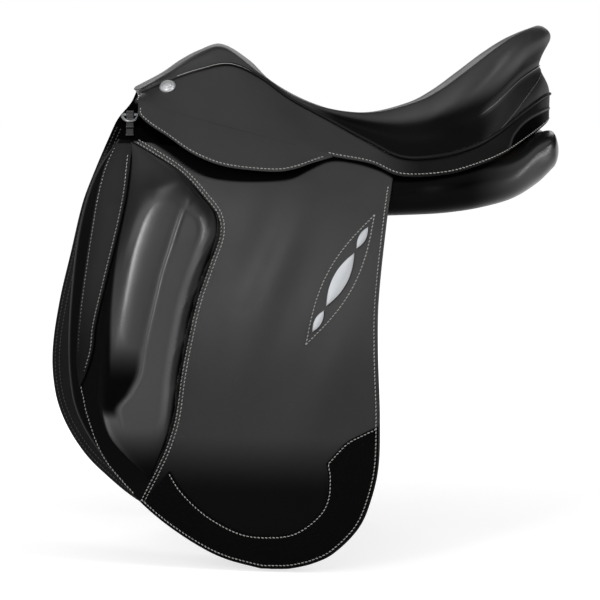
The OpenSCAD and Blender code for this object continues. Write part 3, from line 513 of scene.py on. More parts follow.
@dataclass(frozen=True)
class Metal:
    """Bare metal: a fine directionless brushing or hammering in its roughness and surface."""

    name: str
    colour: str
    roughness: float
    mark_mm: float
    mark_strength: float
    stretch: tuple[float, float, float] = (1.0, 1.0, 1.0)
    metallic: float = 1.0

    def material(self) -> bpy.types.Material:
        """Builds the material: noise of the mark's size, stretched along the brushing, bumps and dulls it."""
        material, tree = new_material(self.name)
        place = add_node(tree, "TexCoord").outputs["Object"]
        along = add_node(tree, "Mapping", {"Scale": self.stretch}, {"Vector": place})
        mark = add_node(tree, "TexNoise", {"Scale": 1000 / self.mark_mm, "Detail": 3.0},
                        {"Vector": along.outputs[0]})
        rough = add_node(tree, "MapRange", {"To Min": self.roughness - 0.08, "To Max": self.roughness + 0.12},
                         {"Value": mark.outputs["Fac"]})
        normal = add_node(tree, "Bump", {"Strength": self.mark_strength, "Distance": 0.1 * MM},
                          {"Height": mark.outputs["Fac"]})
        shader = add_node(tree, "BsdfPrincipled",
                          {"Base Color": linear(self.colour), "Metallic": self.metallic},
                          {"Roughness": rough.outputs[0], "Normal": normal.outputs["Normal"]})
        add_node(tree, "OutputMaterial", links={"Surface": shader.outputs["BSDF"]})
        return material


@dataclass(frozen=True)
class Fibre:
    """Wood, webbing or thread: two colours mixed by a stretched noise that also roughens the surface."""

    name: str
    colour: str
    streak: str
    roughness: float
    streak_mm: float
    depth_mm: float
    stretch: tuple[float, float, float] = (1.0, 1.0, 1.0)

    def material(self) -> bpy.types.Material:
        """Builds the material: noise of the streak's width, drawn out along the fibre."""
        material, tree = new_material(self.name)
        place = add_node(tree, "TexCoord").outputs["Object"]
        along = add_node(tree, "Mapping", {"Scale": self.stretch}, {"Vector": place})
        streak = add_node(tree, "TexNoise", {"Scale": 1000 / self.streak_mm, "Detail": 4.0},
                          {"Vector": along.outputs[0]})
        share = add_node(tree, "MapRange", {"From Min": 0.3, "From Max": 0.7},
                         {"Value": streak.outputs["Fac"]})
        base = add_node(tree, "Mix", {"data_type": "RGBA", 6: linear(self.colour), 7: linear(self.streak)},
                        {0: share.outputs[0]})
        normal = add_node(tree, "Bump", {"Strength": 0.5, "Distance": self.depth_mm * MM},
                          {"Height": streak.outputs["Fac"]})
        shader = add_node(tree, "BsdfPrincipled", {"Roughness": self.roughness},
                          {"Base Color": base.outputs[2], "Normal": normal.outputs["Normal"]})
        add_node(tree, "OutputMaterial", links={"Surface": shader.outputs["BSDF"]})
        return material


class Finishes:
    """All the saddle's materials, each built once."""

    def __init__(self) -> None:
        """Builds the leathers, metals, wood, webbing and thread."""
        # Bridle butt: smooth dyed cowhide with a fine tight grain, waxed to a satin sheen.
        self.butt = Leather("waxed_bridle_leather", "#222222", "#282828", "#010101", 0.46, 0.3,
                            1.3, 0.10, 0.5).material()
        # Calf: softer skin of the seat, drawn tight, with a very fine grain and a soft sheen.
        self.calf = Leather("stretched_seat_calf", "#252525", "#2b2b2b", "#010101", 0.46, 0.3,
                            1.1, 0.08, 0.4).material()
        # Polished calf: skin pulled over foam, rubbed to a gloss; its bright ridge streaks are painted highlights.
        self.gloss = Leather("polished_block_calf", "#171717", "#1c1c1c", "#010101", 0.27, 0.7, 1.0, 0.05, 0.2,
                             coat=0.3, coat_roughness=0.16, dulling=0.6).material()
        # Pebbled leather: printed grain that hides scuffs, dull and dark.
        self.pebble = Leather("pebbled_wear_leather", "#020202", "#030303", "#010101", 0.42, 0.025,
                              1.9, 0.3, 1.0).material()
        # Panel leather: soft chrome-tanned hide with a waxy gloss.
        self.soft = Leather("soft_panel_leather", "#070707", "#0a0a0a", "#010101", 0.34, 0.42, 1.5, 0.12, 0.3,
                            coat=0.16).material()
        # Lining: flesh-side hide dyed black, flat and without gloss.
        self.lining = Leather("dyed_lining_hide", "#131211", "#191715", "#010101", 0.75, 0.16,
                              1.6, 0.2, 0.5).material()
        # Metallic foil leather: a thin silver film on fine calf, brushed by its grain.
        self.silver_skin = Metal("silver_foil_leather", "#a9abae", 0.45, 0.9, 0.5, metallic=0.45).material()
        # Nickel silver, polished, in a colour darker than new that paints the shade the dee hangs in.
        self.nickel = Metal("tarnished_nickel_silver", "#77787a", 0.3, 2.4, 0.4).material()
        # Hammered nickel silver: small dimples that break the light into sparkles.
        self.hammered = Metal("hammered_nickel_silver", "#b6b7b9", 0.45, 1.6, 2.2, metallic=0.7).material()
        # Forged steel, brushed along the bar.
        self.steel = Metal("brushed_forged_steel", "#8b9096", 0.42, 0.8, 0.3, (0.1, 1.0, 1.0)).material()
        # Laminated beech: pale brown with fine streaks along the rails, sealed.
        self.beech = Fibre("laminated_beech", "#a47c4e", "#8a6239", 0.55, 3.0, 0.15, (0.12, 1.0, 1.0)).material()
        # Linen webbing: undyed thread, drawn coarser than it is so that it shows.
        self.webbing = Fibre("linen_webbing", "#b3a384", "#94835f", 0.9, 1.8, 0.4, (1.0, 0.3, 1.0)).material()
        # Bonded polyester thread: pale grey, with a soft sheen.
        self.thread = Fibre("bonded_polyester_thread", "#a6a6a2", "#83837f", 0.6, 0.8, 0.1).material()
        # The same thread dyed black, for seams that aren't meant to show.
        self.black_thread = Fibre("black_polyester_thread", "#2c2c2c", "#1c1c1c", 0.6, 0.8, 0.1).material()


# The side surface, which every leather of a side follows at its own depth

@dataclass(frozen=True)
class SaddleSide:
    """The curved side of the saddle below the fold of its skirt, on the right."""

    fold_front: tuple[float, float, float] = (-250.0, 88.0, 116.2)
    fold_rear: tuple[float, float, float] = (23.0, 141.0, 43.0)
    near_flare: float = 22.0
    near_drop: float = 35.0
    far_flare: float = 62.0
    far_drop: float = 170.0
    barrel_r: float = 1790.0
    barrel_mid: float = -110.0
    barrel_drop: float = 150.0

    def fold(self, x: Array) -> Array:
        """Points of the straight fold line at places x along the horse."""
        a, b = np.array(self.fold_front), np.array(self.fold_rear)
        return a + (b - a) * ((np.asarray(x, float) - a[0]) / (b[0] - a[0]))[..., None]

    def y(self, x: Array, z: Array) -> Array:
        """Half width: the fold's own, plus two flares that die away with depth, less the barrel's round.

        Args:
            x: places along the horse.
            z: heights.

        Returns:
            The half widths; above the fold they run straight on.
        """
        p = self.fold(x)
        v = p[..., 2] - z
        d = np.maximum(v, 0)
        flare = (self.near_flare * (1 - np.exp(-d / self.near_drop))
                 + self.far_flare * (1 - np.exp(-d / self.far_drop)))
        barrel = (x - self.barrel_mid) ** 2 / (2 * self.barrel_r) * (1 - np.exp(-d / self.barrel_drop))
        above = np.minimum(v, 0) * (self.near_flare / self.near_drop + self.far_flare / self.far_drop)
        return p[..., 1] + flare - barrel + above

    def normal(self, x: Array, z: Array) -> Array:
        """Outward unit normal, from the half width's slopes along and up over a millimetre.

        Args:
            x: places along the horse.
            z: heights.

        Returns:
            One vector for each place.
        """
        e = 0.5
        along = self.y(x - e, z) - self.y(x + e, z)
        up = self.y(x, z - e) - self.y(x, z + e)
        return unit(np.stack([along, np.full_like(along, 2 * e), up], axis=-1))

    def point(self, x: Array, z: Array, offset: Array | float) -> Array:
        """Points at an offset outwards from the skirt's outer face: the surface plus the offset times its normal.

        Args:
            x: places along the horse.
            z: heights.
            offset: distances outwards.

        Returns:
            One point for each place.
        """
        x, z = np.broadcast_arrays(np.asarray(x, float), np.asarray(z, float))
        base = np.stack([x, self.y(x, z), z], axis=-1)
        return base + np.asarray(offset, float)[..., None] * self.normal(x, z)

    def at(self, places: Array, offset: Array | float) -> Array:
        """Points at an offset outwards, for places given as pairs of x and z."""
        return self.point(places[..., 0], places[..., 1], offset)


SIDE = SaddleSide()


@dataclass(frozen=True)
class Layers:
    """Depths of the leathers of a side, from the skirt's outer face inwards."""

    skirt_t: float = 3.0
    flap_out: float = -4.0
    flap_t: float = 4.0
    overlay_in: float = -3.5
    overlay_out: float = -2.0
    strap_mid: float = -10.8
    strap_t: float = 4.0
    sweat_out: float = -14.7
    sweat_t: float = 3.5


LAYERS = Layers()


@dataclass(frozen=True)
class Sizes:
    """Sizes that more than one sub-assembly works to."""

    cantle_reach: float = 199.0
    skirt_low: float = 46.0
    head_mid: float = 71.137
    strap_x: tuple[tuple[str, float], ...] = (("front", -90.0), ("rear", -44.0))


SIZES = Sizes()


def leaf_net(front: Pairs, rear: Pairs, top: Pairs, level: float, drop: float, rows: int, columns: int) -> Array:
    """Places over a hanging leaf: straight rows between its front and rear edges, bent to its top edge at the top.

    Args:
        front: pairs of depth and place along the horse for the front edge.
        rear: the same for the rear edge.
        top: pairs of place along the horse and height for the top edge.
        level: height of the top row before it is bent.
        drop: depth of the lowest row.
        rows: number of rows.
        columns: number of columns.

    Returns:
        Rows by columns of x and z.
    """
    h = ease(rows, 0.9995)[:, None]
    bend = (1 - h) ** 3
    flat = lerp(level, -drop, h)
    a = curve(front, -flat - bend * (top[0][1] - level))
    b = curve(rear, -flat - bend * (top[-1][1] - level))
    x = lerp(a, b, ease(columns)[None])
    return np.stack([x, flat + bend * (curve(top, x) - level)], axis=-1)


def side_sheet(places: Array, middle: float | Array, thick: float, relief: Array | float = 0.0,
               tone: Array | None = None, sides: str = "tbfr") -> Shell:
    """A leather sheet that follows the side surface.

    Args:
        places: rows by columns of x and z.
        middle: offset of the sheet's middle layer.
        thick: thickness.
        relief: height added to its outer face.
        tone: painted shade of its outer face.
        sides: borders that are rounded off.

    Returns:
        The closed sheet.
    """
    x, z = places[..., 0], places[..., 1]
    edge = outline_distance(places, sides)
    return slab(SIDE.point(x, z, middle), SIDE.normal(x, z), thick, edge, relief, tone)


@dataclass(frozen=True)
class Stitching:
    """Rows of saddler's stitches: short round-ended threads that lean a little across the line."""

    pitch: float = 4.0
    length: float = 3.0
    width: float = 1.05
    lean: float = 0.18
    proud: float = 0.1
    sides: int = 6
    run: tuple[float, ...] = (-1.0, -0.82, -0.4, 0.4, 0.82, 1.0)
    fat: tuple[float, ...] = (0.0, 0.72, 1.0, 1.0, 0.72, 0.0)

    def along(self, path: Array, normal: Array) -> Shell:
        """Stitches along a line of points on a surface.

        Each is a six-sided thread: its radius at each place along its run is its fatness there, round at both ends.

        Args:
            path: points on the surface.
            normal: the surface's normal at each point.

        Returns:
            All the stitches as one shell.
        """
        both = even_path(np.concatenate([path, normal], axis=1), self.pitch)
        middle = 0.5 * (both[1:, :3] + both[:-1, :3])
        out = unit(both[1:, 3:] + both[:-1, 3:])
        way = unit(both[1:, :3] - both[:-1, :3])
        across = np.cross(out, way)
        way = unit(way + self.lean * across)
        across = np.cross(out, way)
        run, fat, turn = np.array(self.run)[:, None], np.array(self.fat)[:, None], around(self.sides)
        local = np.stack([np.repeat(run * self.length / 2, self.sides, axis=1),
                          fat * np.cos(turn) * self.width / 2,
                          fat * np.sin(turn) * self.width / 2], axis=-1)
        axes = np.stack([way, across, out], axis=1)
        net = middle[:, None, None] + self.proud * out[:, None, None] + np.einsum("ijk,nkl->nijl", local, axes)
        one = Shell.grid(local, wrap=True).faces
        count = local.shape[0] * local.shape[1]
        faces = (one[None] + np.arange(len(net))[:, None, None] * count).reshape(-1, 4)
        points = net.reshape(-1, 3)
        return Shell(points, faces, np.zeros(len(points)))

    def on_side(self, places: Array, offset: float | Array) -> Shell:
        """Stitches along a line on a layer of the side.

        Args:
            places: x and z of points along the line.
            offset: the layer's offset, or offsets spread evenly over the line.

        Returns:
            All the stitches as one shell.
        """
        dense = even_path(np.asarray(places, float), 1.0)
        lifts = np.atleast_1d(offset)
        lift = np.interp(np.linspace(0, 1, len(dense)), np.linspace(0, 1, len(lifts)), lifts)
        return self.along(SIDE.at(dense, lift), SIDE.normal(dense[:, 0], dense[:, 1]))


STITCH = Stitching()


# Seat

@dataclass
class Seat:
    """The padded seat with its rolled rim, its piping, and the skirts that run round under it."""

    finishes: Finishes
    seat_height: float = 105.0
    pommel_height: float = 182.0
    cantle_height: float = 200.0
    head_reach: float = 258.0
    cantle_reach: float = SIZES.cantle_reach
    half_seat: float = 124.0
    half_twist: float = 64.0
    half_pommel: float = 56.0
    leather: float = 2.2
    foam_t: float = 20.0
    foam_gap: float = 1.4
    welt_r: float = 1.8
    welt_lap: float = 0.7
    welt_stand: tuple[float, float, float] = (0.0, 0.7, 0.8)
    pommel_thread_r: float = 0.34
    pommel_thread_stand: tuple[float, float, float] = (0.0, 2.35, 1.15)
    cantle_bead_r: float = 1.2
    cantle_seam_r: float = 0.7
    wall_swell: float = 4.0
    swell_centre: tuple[float, float, float] = (60.0, 0.0, 0.0)
    foam_heart: tuple[float, float, float] = (-45.0, 0.0, 110.0)
    skirt_low: float = SIZES.skirt_low
    skirt_turn_from: float = -50.0
    skirt_turn_over: float = 40.0
    bead_w: float = 0.045
    bead_h: float = 0.8
    fan_front: float = -190.0
    fan_rear: float = 85.0
    fan_pull: float = 0.35
    stitch_inset: float = 2.4
    band_row: tuple[float, float] = (6.93, 14.98)
    front_row: tuple[float, float] = (0.25, 0.9)
    stud_d: float = 18.0
    stud_h: float = 5.0
    vault_r: float = 61.4
    vault_mid: float = SIZES.head_mid
    vault_half_deg: float = 78.0
    vault_front: float = -211.0
    vault_rear: float = -160.0
    pommel_lining_t: float = 1.0
    rows: int = 301
    levels: int = 64
    top_places: tuple[float, ...] = (0.12, 0.28, 0.46, 0.66, 0.84, 1.0)
    under_places: tuple[float, ...] = (0.12, 0.5, 1.0)
    # Station and level of the flank's painted shade border; station and share of the skirt's width at its cantle piece.
    flank_border: Pairs = ((6, 2.2), (8.5, 2.05), (9.5, 2.05), (10.75, 1.75), (11.8, 1.5), (12.75, 1.6), (13.5, 1.85),
                           (15, 1.9))
    piece_border: Pairs = ((12.0, 1.1), (12.25, 0.75), (12.5, 0.48), (13.1, 0.32), (14.0, 0.42), (15, 0.55))
    # Station and column of the seat's net along the fine seam up the cantle's wall.
    cantle_seam: Pairs = ((11.9, 0.0), (12.6, 1.4), (13.4, 3.5), (14.2, 5.6), (14.6, 6.6))
    lip: tuple = ((-256.5, 0, 125.5), (-255, 22, 126), (-252.5, 44, 126.5), (-252, 57, 124), (-252, 66, 117),
                  (-250, 74, 106), (-247, 80, 95))
    lines: dict[str, Array] = field(default_factory=dict)

    def __post_init__(self) -> None:
        """Sets out the stations of the rim, roll, crease, seam and lower edge, pommel to cantle on the right."""
        h, c = -self.head_reach, self.cantle_reach
        s, w, p = self.half_seat, self.half_twist, self.half_pommel
        lo, ph, ch = self.seat_height, self.pommel_height, self.cantle_height
        self.lines["rim"] = np.array([
            [h - 2, 0, ph - 47], [h + 8, p - 20, ph - 47], [h + 36, p - 14, ph - 31], [h + 68, p - 14, ph - 12],
            [h + 98, p - 14, ph - 5], [-121, p - 10, ph - 33], [-85, w - 6, lo + 20], [-45, w + 14, lo + 5],
            [0, s - 27, lo + 1], [45, s - 14, lo + 11], [c - 126, s - 8, lo + 25], [c - 97, s - 8, ch - 49],
            [c - 69, s - 18, ch - 27.5], [c - 44, s - 39, ch - 11], [c - 19, s - 78, ch], [c - 8, 0, ch]])
        self.lines["roll"] = np.array([
            [h - 4, 0, ph - 50], [h + 7, p - 10, ph - 49], [h + 36, p - 6, ph - 33], [h + 69, p - 7, ph - 16],
            [h + 100, p - 8, ph - 9], [-121, p - 6, ph - 33.5], [-86, w - 2, lo + 19], [-45, w + 19, lo + 1],
            [0, s - 20, lo - 8], [44, s - 7, lo - 8], [c - 125, s, lo + 3], [c - 93, s, ch - 70],
            [c - 62, s - 11, ch - 46], [c - 36, s - 34, ch - 28], [c - 9, s - 74, ch - 14], [c, 0, ch - 12]])
        self.lines["crease"] = np.array([
            [h - 2, 0, ph - 52], [h + 8, p - 6, ph - 51], [h + 35, p - 1, ph - 37], [h + 69, p - 4, ph - 22],
            [h + 101, p - 5, ph - 16], [-121, p - 4, ph - 35], [-87, w, lo + 17], [-45, w + 19, lo - 3],
            [-3, s - 22, lo - 18], [36, s - 8, lo - 29], [c - 125, s - 2, lo - 21], [c - 93, s - 8, ch - 102],
            [c - 68, s - 23, ch - 85], [c - 41, s - 50, ch - 60], [c - 17.5, s - 84, ch - 45], [c - 14, 0, ch - 43]])
        self.lines["seam"] = np.array([
            [h, 0, ph - 57], [h + 8, p + 2, ph - 54], [h + 35, p + 4, ph - 42], [h + 70, p, ph - 30],
            [h + 104, p - 2, ph - 24], [-121, p - 2, ph - 38], [-88, w + 3, lo + 15.5], [-45, w + 22, lo - 8],
            [-5, s - 16, lo - 30], [32, s + 2, lo - 47.5], [c - 125, s + 9, lo - 45.5], [c - 92, s + 2, lo - 36],
            [c - 66, s - 14, lo - 22], [c - 39, s - 44, lo - 2], [c - 14, s - 79, lo + 15], [c, 0, lo + 21]])
        k = self.skirt_low
        front = SIDE.fold(np.array([h + 1, h + 2, *self.lines["seam"][2:8, 0]]))
        back = np.array([
            [-2, float(SIDE.y(np.array(-2.0), np.array(k + 7))), k + 7], [30, s + 19, k - 6], [c - 121, s + 24, k - 4],
            [c - 84, s + 13, k + 6], [c - 56, s - 8, k + 17], [c - 29, s - 40, k + 33], [c - 9, s - 78, k + 46],
            [c - 1, 0, k + 52]])
        self.lines["band"] = np.concatenate([front, back])

    def line(self, name: str, t: Array) -> Array:
        """Points of a named line at stations t; it crosses the middle squarely at both ends."""
        return spline(self.lines[name], t, mirror=True)

    @property
    def spine(self) -> Pairs:
        """Heights of the seat along its middle line, from rim to rim."""
        h, c = -self.head_reach, self.cantle_reach
        lo, ph, ch = self.seat_height, self.pommel_height, self.cantle_height
        return [(h - 2, ph - 47), (h + 28, ph - 31), (h + 47, ph - 18), (h + 68, ph - 7), (h + 93, ph),
                (h + 124, ph - 18), (h + 147, ph - 40), (-72, lo + 15), (-29, lo + 1), (0, lo - 3), (45, lo + 2),
                (c - 125, lo + 9), (c - 97, lo + 25), (c - 69, ch - 48), (c - 44, ch - 26), (c - 20, ch - 7),
                (c - 8, ch)]

    def top(self, t: Array, w: Array) -> Array:
        """Top of the seat: lines from the rim, w 0, to the middle, w 1, fanned in at the pommel and the cantle.

        The height is the middle line's plus the rim's rise over it, which falls off towards the middle.

        Args:
            t: stations along the rim.
            w: places from rim to middle.

        Returns:
            One point for each pair.
        """
        c = self.line("rim", t)
        x0 = c[..., 0]
        pulled = np.where(x0 > self.fan_rear, lerp(self.fan_rear, x0, self.fan_pull),
                          np.where(x0 < self.fan_front, lerp(self.fan_front, x0, self.fan_pull), x0))
        x = lerp(x0, pulled, w)
        rise = c[..., 2] - curve(self.spine, x0)
        fall = np.where(rise > 0, smooth(w), np.sin(np.pi / 2 * w))
        return np.stack([x, c[..., 1] * (1 - w), curve(self.spine, x) + rise * (1 - fall)], axis=-1)

    def under(self, t: Array, w: Array, depth: float) -> Array:
        """Points of a layer under the foam: the seat's top less its leather, its foam and a depth.

        Args:
            t: stations along the rim.
            w: places from rim to middle.
            depth: depth under the foam.

        Returns:
            One point for each pair.
        """
        p = self.top(t, w)
        f, h, c = self.foam_t, -self.head_reach, self.cantle_reach
        run = [(h, f - 13), (h + 93, f - 12), (-110, f - 6), (0, f), (100, f + 2), (c, f - 2)]
        drop = self.leather + self.foam_gap + curve(run, p[..., 0]) + depth
        return p - drop[..., None] * np.array([0.0, 0.0, 1.0])

    def seat_net(self, t: Array) -> Array:
        """Net of the right half of the seat's leather: a smooth curve from seam to middle at every station t.

        The cantle's wall also swells out, by half a sine wave between the seam and the crease.

        Args:
            t: stations.

        Returns:
            Stations by levels by 3.
        """
        seam, crease = self.line("seam", t), self.line("crease", t)
        start = seam + self.welt_lap * unit(crease - seam)
        tops = [self.top(t, np.full_like(t, w)) for w in self.top_places]
        levels = np.stack([start, crease, self.line("roll", t), self.line("rim", t), *tops])
        level = np.linspace(0, len(levels) - 1, self.levels)
        net = np.swapaxes(spline(levels, level), 0, 1)
        out = unit((net[:, :1] - self.swell_centre) * [1.0, 1.0, 0.0])
        swell = smooth((t - 10.5) / 2.0)[:, None, None] * np.sin(np.pi * np.clip(level, 0, 1))[None, :, None]
        return net + self.wall_swell * swell * out

    def bottom_net(self, t: Array, outer: Array) -> Array:
        """Net of the right half's underside: up inside the leather from the seam, then along under the foam.

        Args:
            t: stations.
            outer: the net of the leather at these stations.

        Returns:
            Stations by levels by 3.
        """
        inside = unit(np.array(self.foam_heart) - outer[:, 0]) * self.leather
        levels = np.stack([outer[:, 0], outer[:, 0] + inside, outer[:, 7] + 2 * inside,
                           *[self.under(t, np.full_like(t, w), 0.0) for w in self.under_places]])
        return np.swapaxes(spline(levels, np.linspace(0, len(levels) - 1, self.levels)), 0, 1)

    def build_seat(self) -> None:
        """The seat: both halves of the net over both halves of the underside, joined on the middle line.

        Its tone is painted shade: dark on the flank under the rim and in the crease, plain on the cantle's swollen
        wall.
        """
        t = ease(self.rows, len(self.lines["rim"]) - 1.0)
        outer = self.seat_net(t)
        inner = self.bottom_net(t, outer)
        level = np.linspace(0, 9, outer.shape[1])[None]
        row = t[:, None]
        # Painted shade on the flank under the rim and on the wall below the crease.
        border = curve(self.flank_border, row)
        above_crease = lerp(1.0, smooth((level - 1.0) / 0.25), smooth((row - 11.2) / 0.8))
        flank = smooth((border - level) / 0.6 + 0.5) * above_crease
        wall = smooth((1.05 - level) / 0.15) * (1 - 0.3 * smooth((row - 11.2) / 1.2))
        tone = 0.9 * smooth((row - 6.0) / 1.2) * np.maximum(flank, wall)
        shell = Shell.grid(outer, tone=tone) + Shell.grid(inner[:, ::-1])
        piece = add_piece("seat_cushion", shell + shell.on(Side.LEFT), self.finishes.calf, "saddle",
                          ("seat_cover", "seat_foam"))

    def skirt_net(self, t: Array, u: Array) -> Array:
        """Outer face of the skirt: straight lines from seam to lower edge, turned to leave the fold smoothly.

        The turn adds (u cubed - u squared) times the change of slope that the lobe below the fold asks for.

        Args:
            t: stations.
            u: places from seam, 0, to lower edge, 1.

        Returns:
            Stations by places by 3.
        """
        seam, low = self.line("seam", t), self.line("band", t)
        way = unit(low - seam)
        a, b = seam + self.welt_lap * way, low - 0.05 * way
        drop = np.linalg.norm(b - a, axis=-1, keepdims=True)
        e = 1.0
        x, z = low[:, 0], low[:, 2]
        slope = unit(SIDE.point(x + e * way[:, 0], z - 2 * e, 0.0) - SIDE.point(x, z - e, 0.0))
        part = smooth((self.skirt_turn_from - x) / self.skirt_turn_over)[:, None]
        turn = (slope - way) * drop * part
        w = u[None, :, None]
        return lerp(a[:, None], b[:, None], w) + turn[:, None] * (w ** 3 - w ** 2)

    def build_skirt(self, side: Side) -> None:
        """The fixed part of the skirt, with the band round the cantle and the stitches along both.

        A bead, a bell curve across the skirt, borders the separate piece at the cantle. Painted shade darkens the skirt
        towards the cantle and the piece below the bead, and is left off the bead, as a painted highlight.

        Args:
            side: the side that it lies on.
        """
        t = np.linspace(1, 15, 281)
        u = ease(60)
        net = self.skirt_net(t, u)
        normal = net_normal(net)
        width = np.linalg.norm(net - net[:, -1:], axis=2)
        band = smooth((net[..., 0] + 60.0) / 20.0)
        edge = np.minimum(outline_distance(net, "t"), np.where(band > 0.01, width / np.maximum(band, 0.01), 9.0))
        edge = np.minimum(edge, np.linalg.norm(net - net[:, :1], axis=2))
        middle = net - LAYERS.skirt_t / 2 * normal
        border = curve(self.piece_border, t)[:, None]
        piece = smooth((t - 12.0) / 0.2)[:, None]
        bead = bump(u[None], border, self.bead_w) * piece
        # Painted shade towards the cantle and on the piece below the bead; the bead is left bright, a painted
        # highlight.
        behind = 0.78 * smooth((net[..., 0] + 15.0) / 70.0)
        tone = np.maximum(behind, 0.96 * smooth((u[None] - border) / 0.05) * piece)
        shell = slab(middle, normal, LAYERS.skirt_t, edge, self.bead_h * bead, tone * (1 - 0.9 * bead))
        add_sided(side, "skirt_*_leather", shell, self.finishes.butt, "saddle", "skirt_*")
        row = np.linspace(*self.band_row, 204)
        low = self.skirt_net(row, np.array([0.0, 0.9, 1.0]))
        inward = unit(low[:, 1] - low[:, 2])
        line = low[:, 2] + self.stitch_inset * inward
        out = unit(np.cross(inward, np.gradient(line, axis=0)))
        front = self.skirt_net(np.array([1.0, 1.2]), np.linspace(*self.front_row, 40))
        back = unit(front[1] - front[0])
        hem = front[0] + self.stitch_inset * back
        rows = STITCH.along(line, out) + STITCH.along(hem, unit(np.cross(back, np.gradient(hem, axis=0))))
        add_sided(side, "band_stitches_*", rows, self.finishes.thread, "saddle")

    def build_welts(self, side: Side) -> None:
        """Piping along the seat's seam, pale thread by it at the pommel that paints the piping's highlight, and a bead
        and a fine seam at the cantle.

        Each is a round cord along a line of the seat. The piping stands farther out at the waist, by a bell curve.

        Args:
            side: the side that they lie on.
        """
        t = np.linspace(1, 15, 260)
        path = self.line("seam", t) + np.outer(1 + bump(t, 9.5, 2.0), self.welt_stand)
        # Painted shade dims the piping and takes its gloss past the pommel.
        cord = tube(path, self.welt_r, tone=0.7 * smooth((t - 2.5) / 1.5))
        add_sided(side, "seat_piping_*", cord, self.finishes.calf, "saddle", "seat_welt_*")
        # A pale thread along the pommel, a painted highlight of the piping there.
        start, end = 2.35, 5.0
        t = np.linspace(start, end, 110)
        radius = self.pommel_thread_r * smooth((end - t) / 1.2) + 0.02
        thread = tube(self.line("seam", t) + self.pommel_thread_stand, radius)
        add_sided(side, "pommel_seam_*", thread, self.finishes.thread, "saddle")
        start, end = 11.2, 15
        t = np.linspace(start, end, 100)
        crease, seam = self.line("crease", t), self.line("seam", t)
        path = crease + 0.4 * unit(crease - seam) + np.array([0.2, 0.2, 0.0])
        bead = tube(path, np.maximum(self.cantle_bead_r * smooth((t - start) / 1.2), 0.05))
        t = np.linspace(self.cantle_seam[0][0], self.cantle_seam[-1][0], 90)
        place = curve(self.cantle_seam, t)
        net, low, here = self.seat_net(t), np.floor(place).astype(int), np.arange(len(t))
        path = lerp(net[here, low], net[here, low + 1], (place - low)[:, None])
        shell = bead + tube(path, self.cantle_seam_r)
        add_sided(side, "cantle_bead_*", shell, self.finishes.gloss, "saddle")

    def build_stud(self, side: Side) -> None:
        """The skirt's stud: a dome with a turned ring, its height the root of 1 less the square of the place out.

        Args:
            side: the side that it lies on.
        """
        net = self.skirt_net(np.array([2.0, 2.05, 2.1]), np.array([0.18, 0.2, 0.22]))
        way = net_normal(net)[1, 1]
        way = way * np.sign(way[2])
        across = unit(np.cross(way, [1.0, 0.0, 0.0]))
        along = np.cross(across, way)
        out = np.concatenate([[0.0], np.linspace(1, 0, 30)])
        rise = np.concatenate([[0.0], np.sqrt(1 - np.linspace(1, 0, 30) ** 2)])
        rise = rise * self.stud_h - 0.5 * bump(out, 0.6, 0.06) * (rise > 0)
        turn = around(48)
        ring = np.cos(turn)[:, None] * along + np.sin(turn)[:, None] * across
        dome = net[1, 1] + (out * self.stud_d / 2)[:, None, None] * ring[None] + (rise + 0.3)[:, None, None] * way
        add_sided(side, "stud_*_dome", Shell.grid(dome, wrap=True), self.finishes.hammered, "saddle",
                  "skirt_nail_*")

    def build_facing(self) -> None:
        """The pommel's lining: a sheet from under the lip back to the tree's arch and through it, as a round vault.

        Its rows blend from the lip's line to a half circle, whose angle runs evenly from side to side.
        """
        v = np.linspace(0, 1, 41)
        front = spline(self.lip, v * (len(self.lip) - 1))
        turn = np.radians(self.vault_half_deg) * v
        arch = np.stack([0 * v, self.vault_r * np.sin(turn), self.vault_mid + self.vault_r * np.cos(turn)], axis=-1)
        near, far = arch + [self.vault_front, 0, 0], arch + [self.vault_rear, 0, 0]
        half = spline(np.stack([front, lerp(front, near, 0.5), near, far]), np.linspace(0, 3, 46))
        net = np.concatenate([(half * FLIP)[:, :0:-1], half], axis=1)
        shell = plain_sheet(net, self.pommel_lining_t)
        add_piece("pommel_lining_hide", shell, self.finishes.lining, "saddle")

    def build(self) -> None:
        """Builds the seat, the lining under its pommel, and the piping, skirts and studs of both sides."""
        self.build_seat()
        self.build_facing()
        for side in Side:
            self.build_skirt(side)
            self.build_welts(side)
            self.build_stud(side)


# Skirt lobe and flap

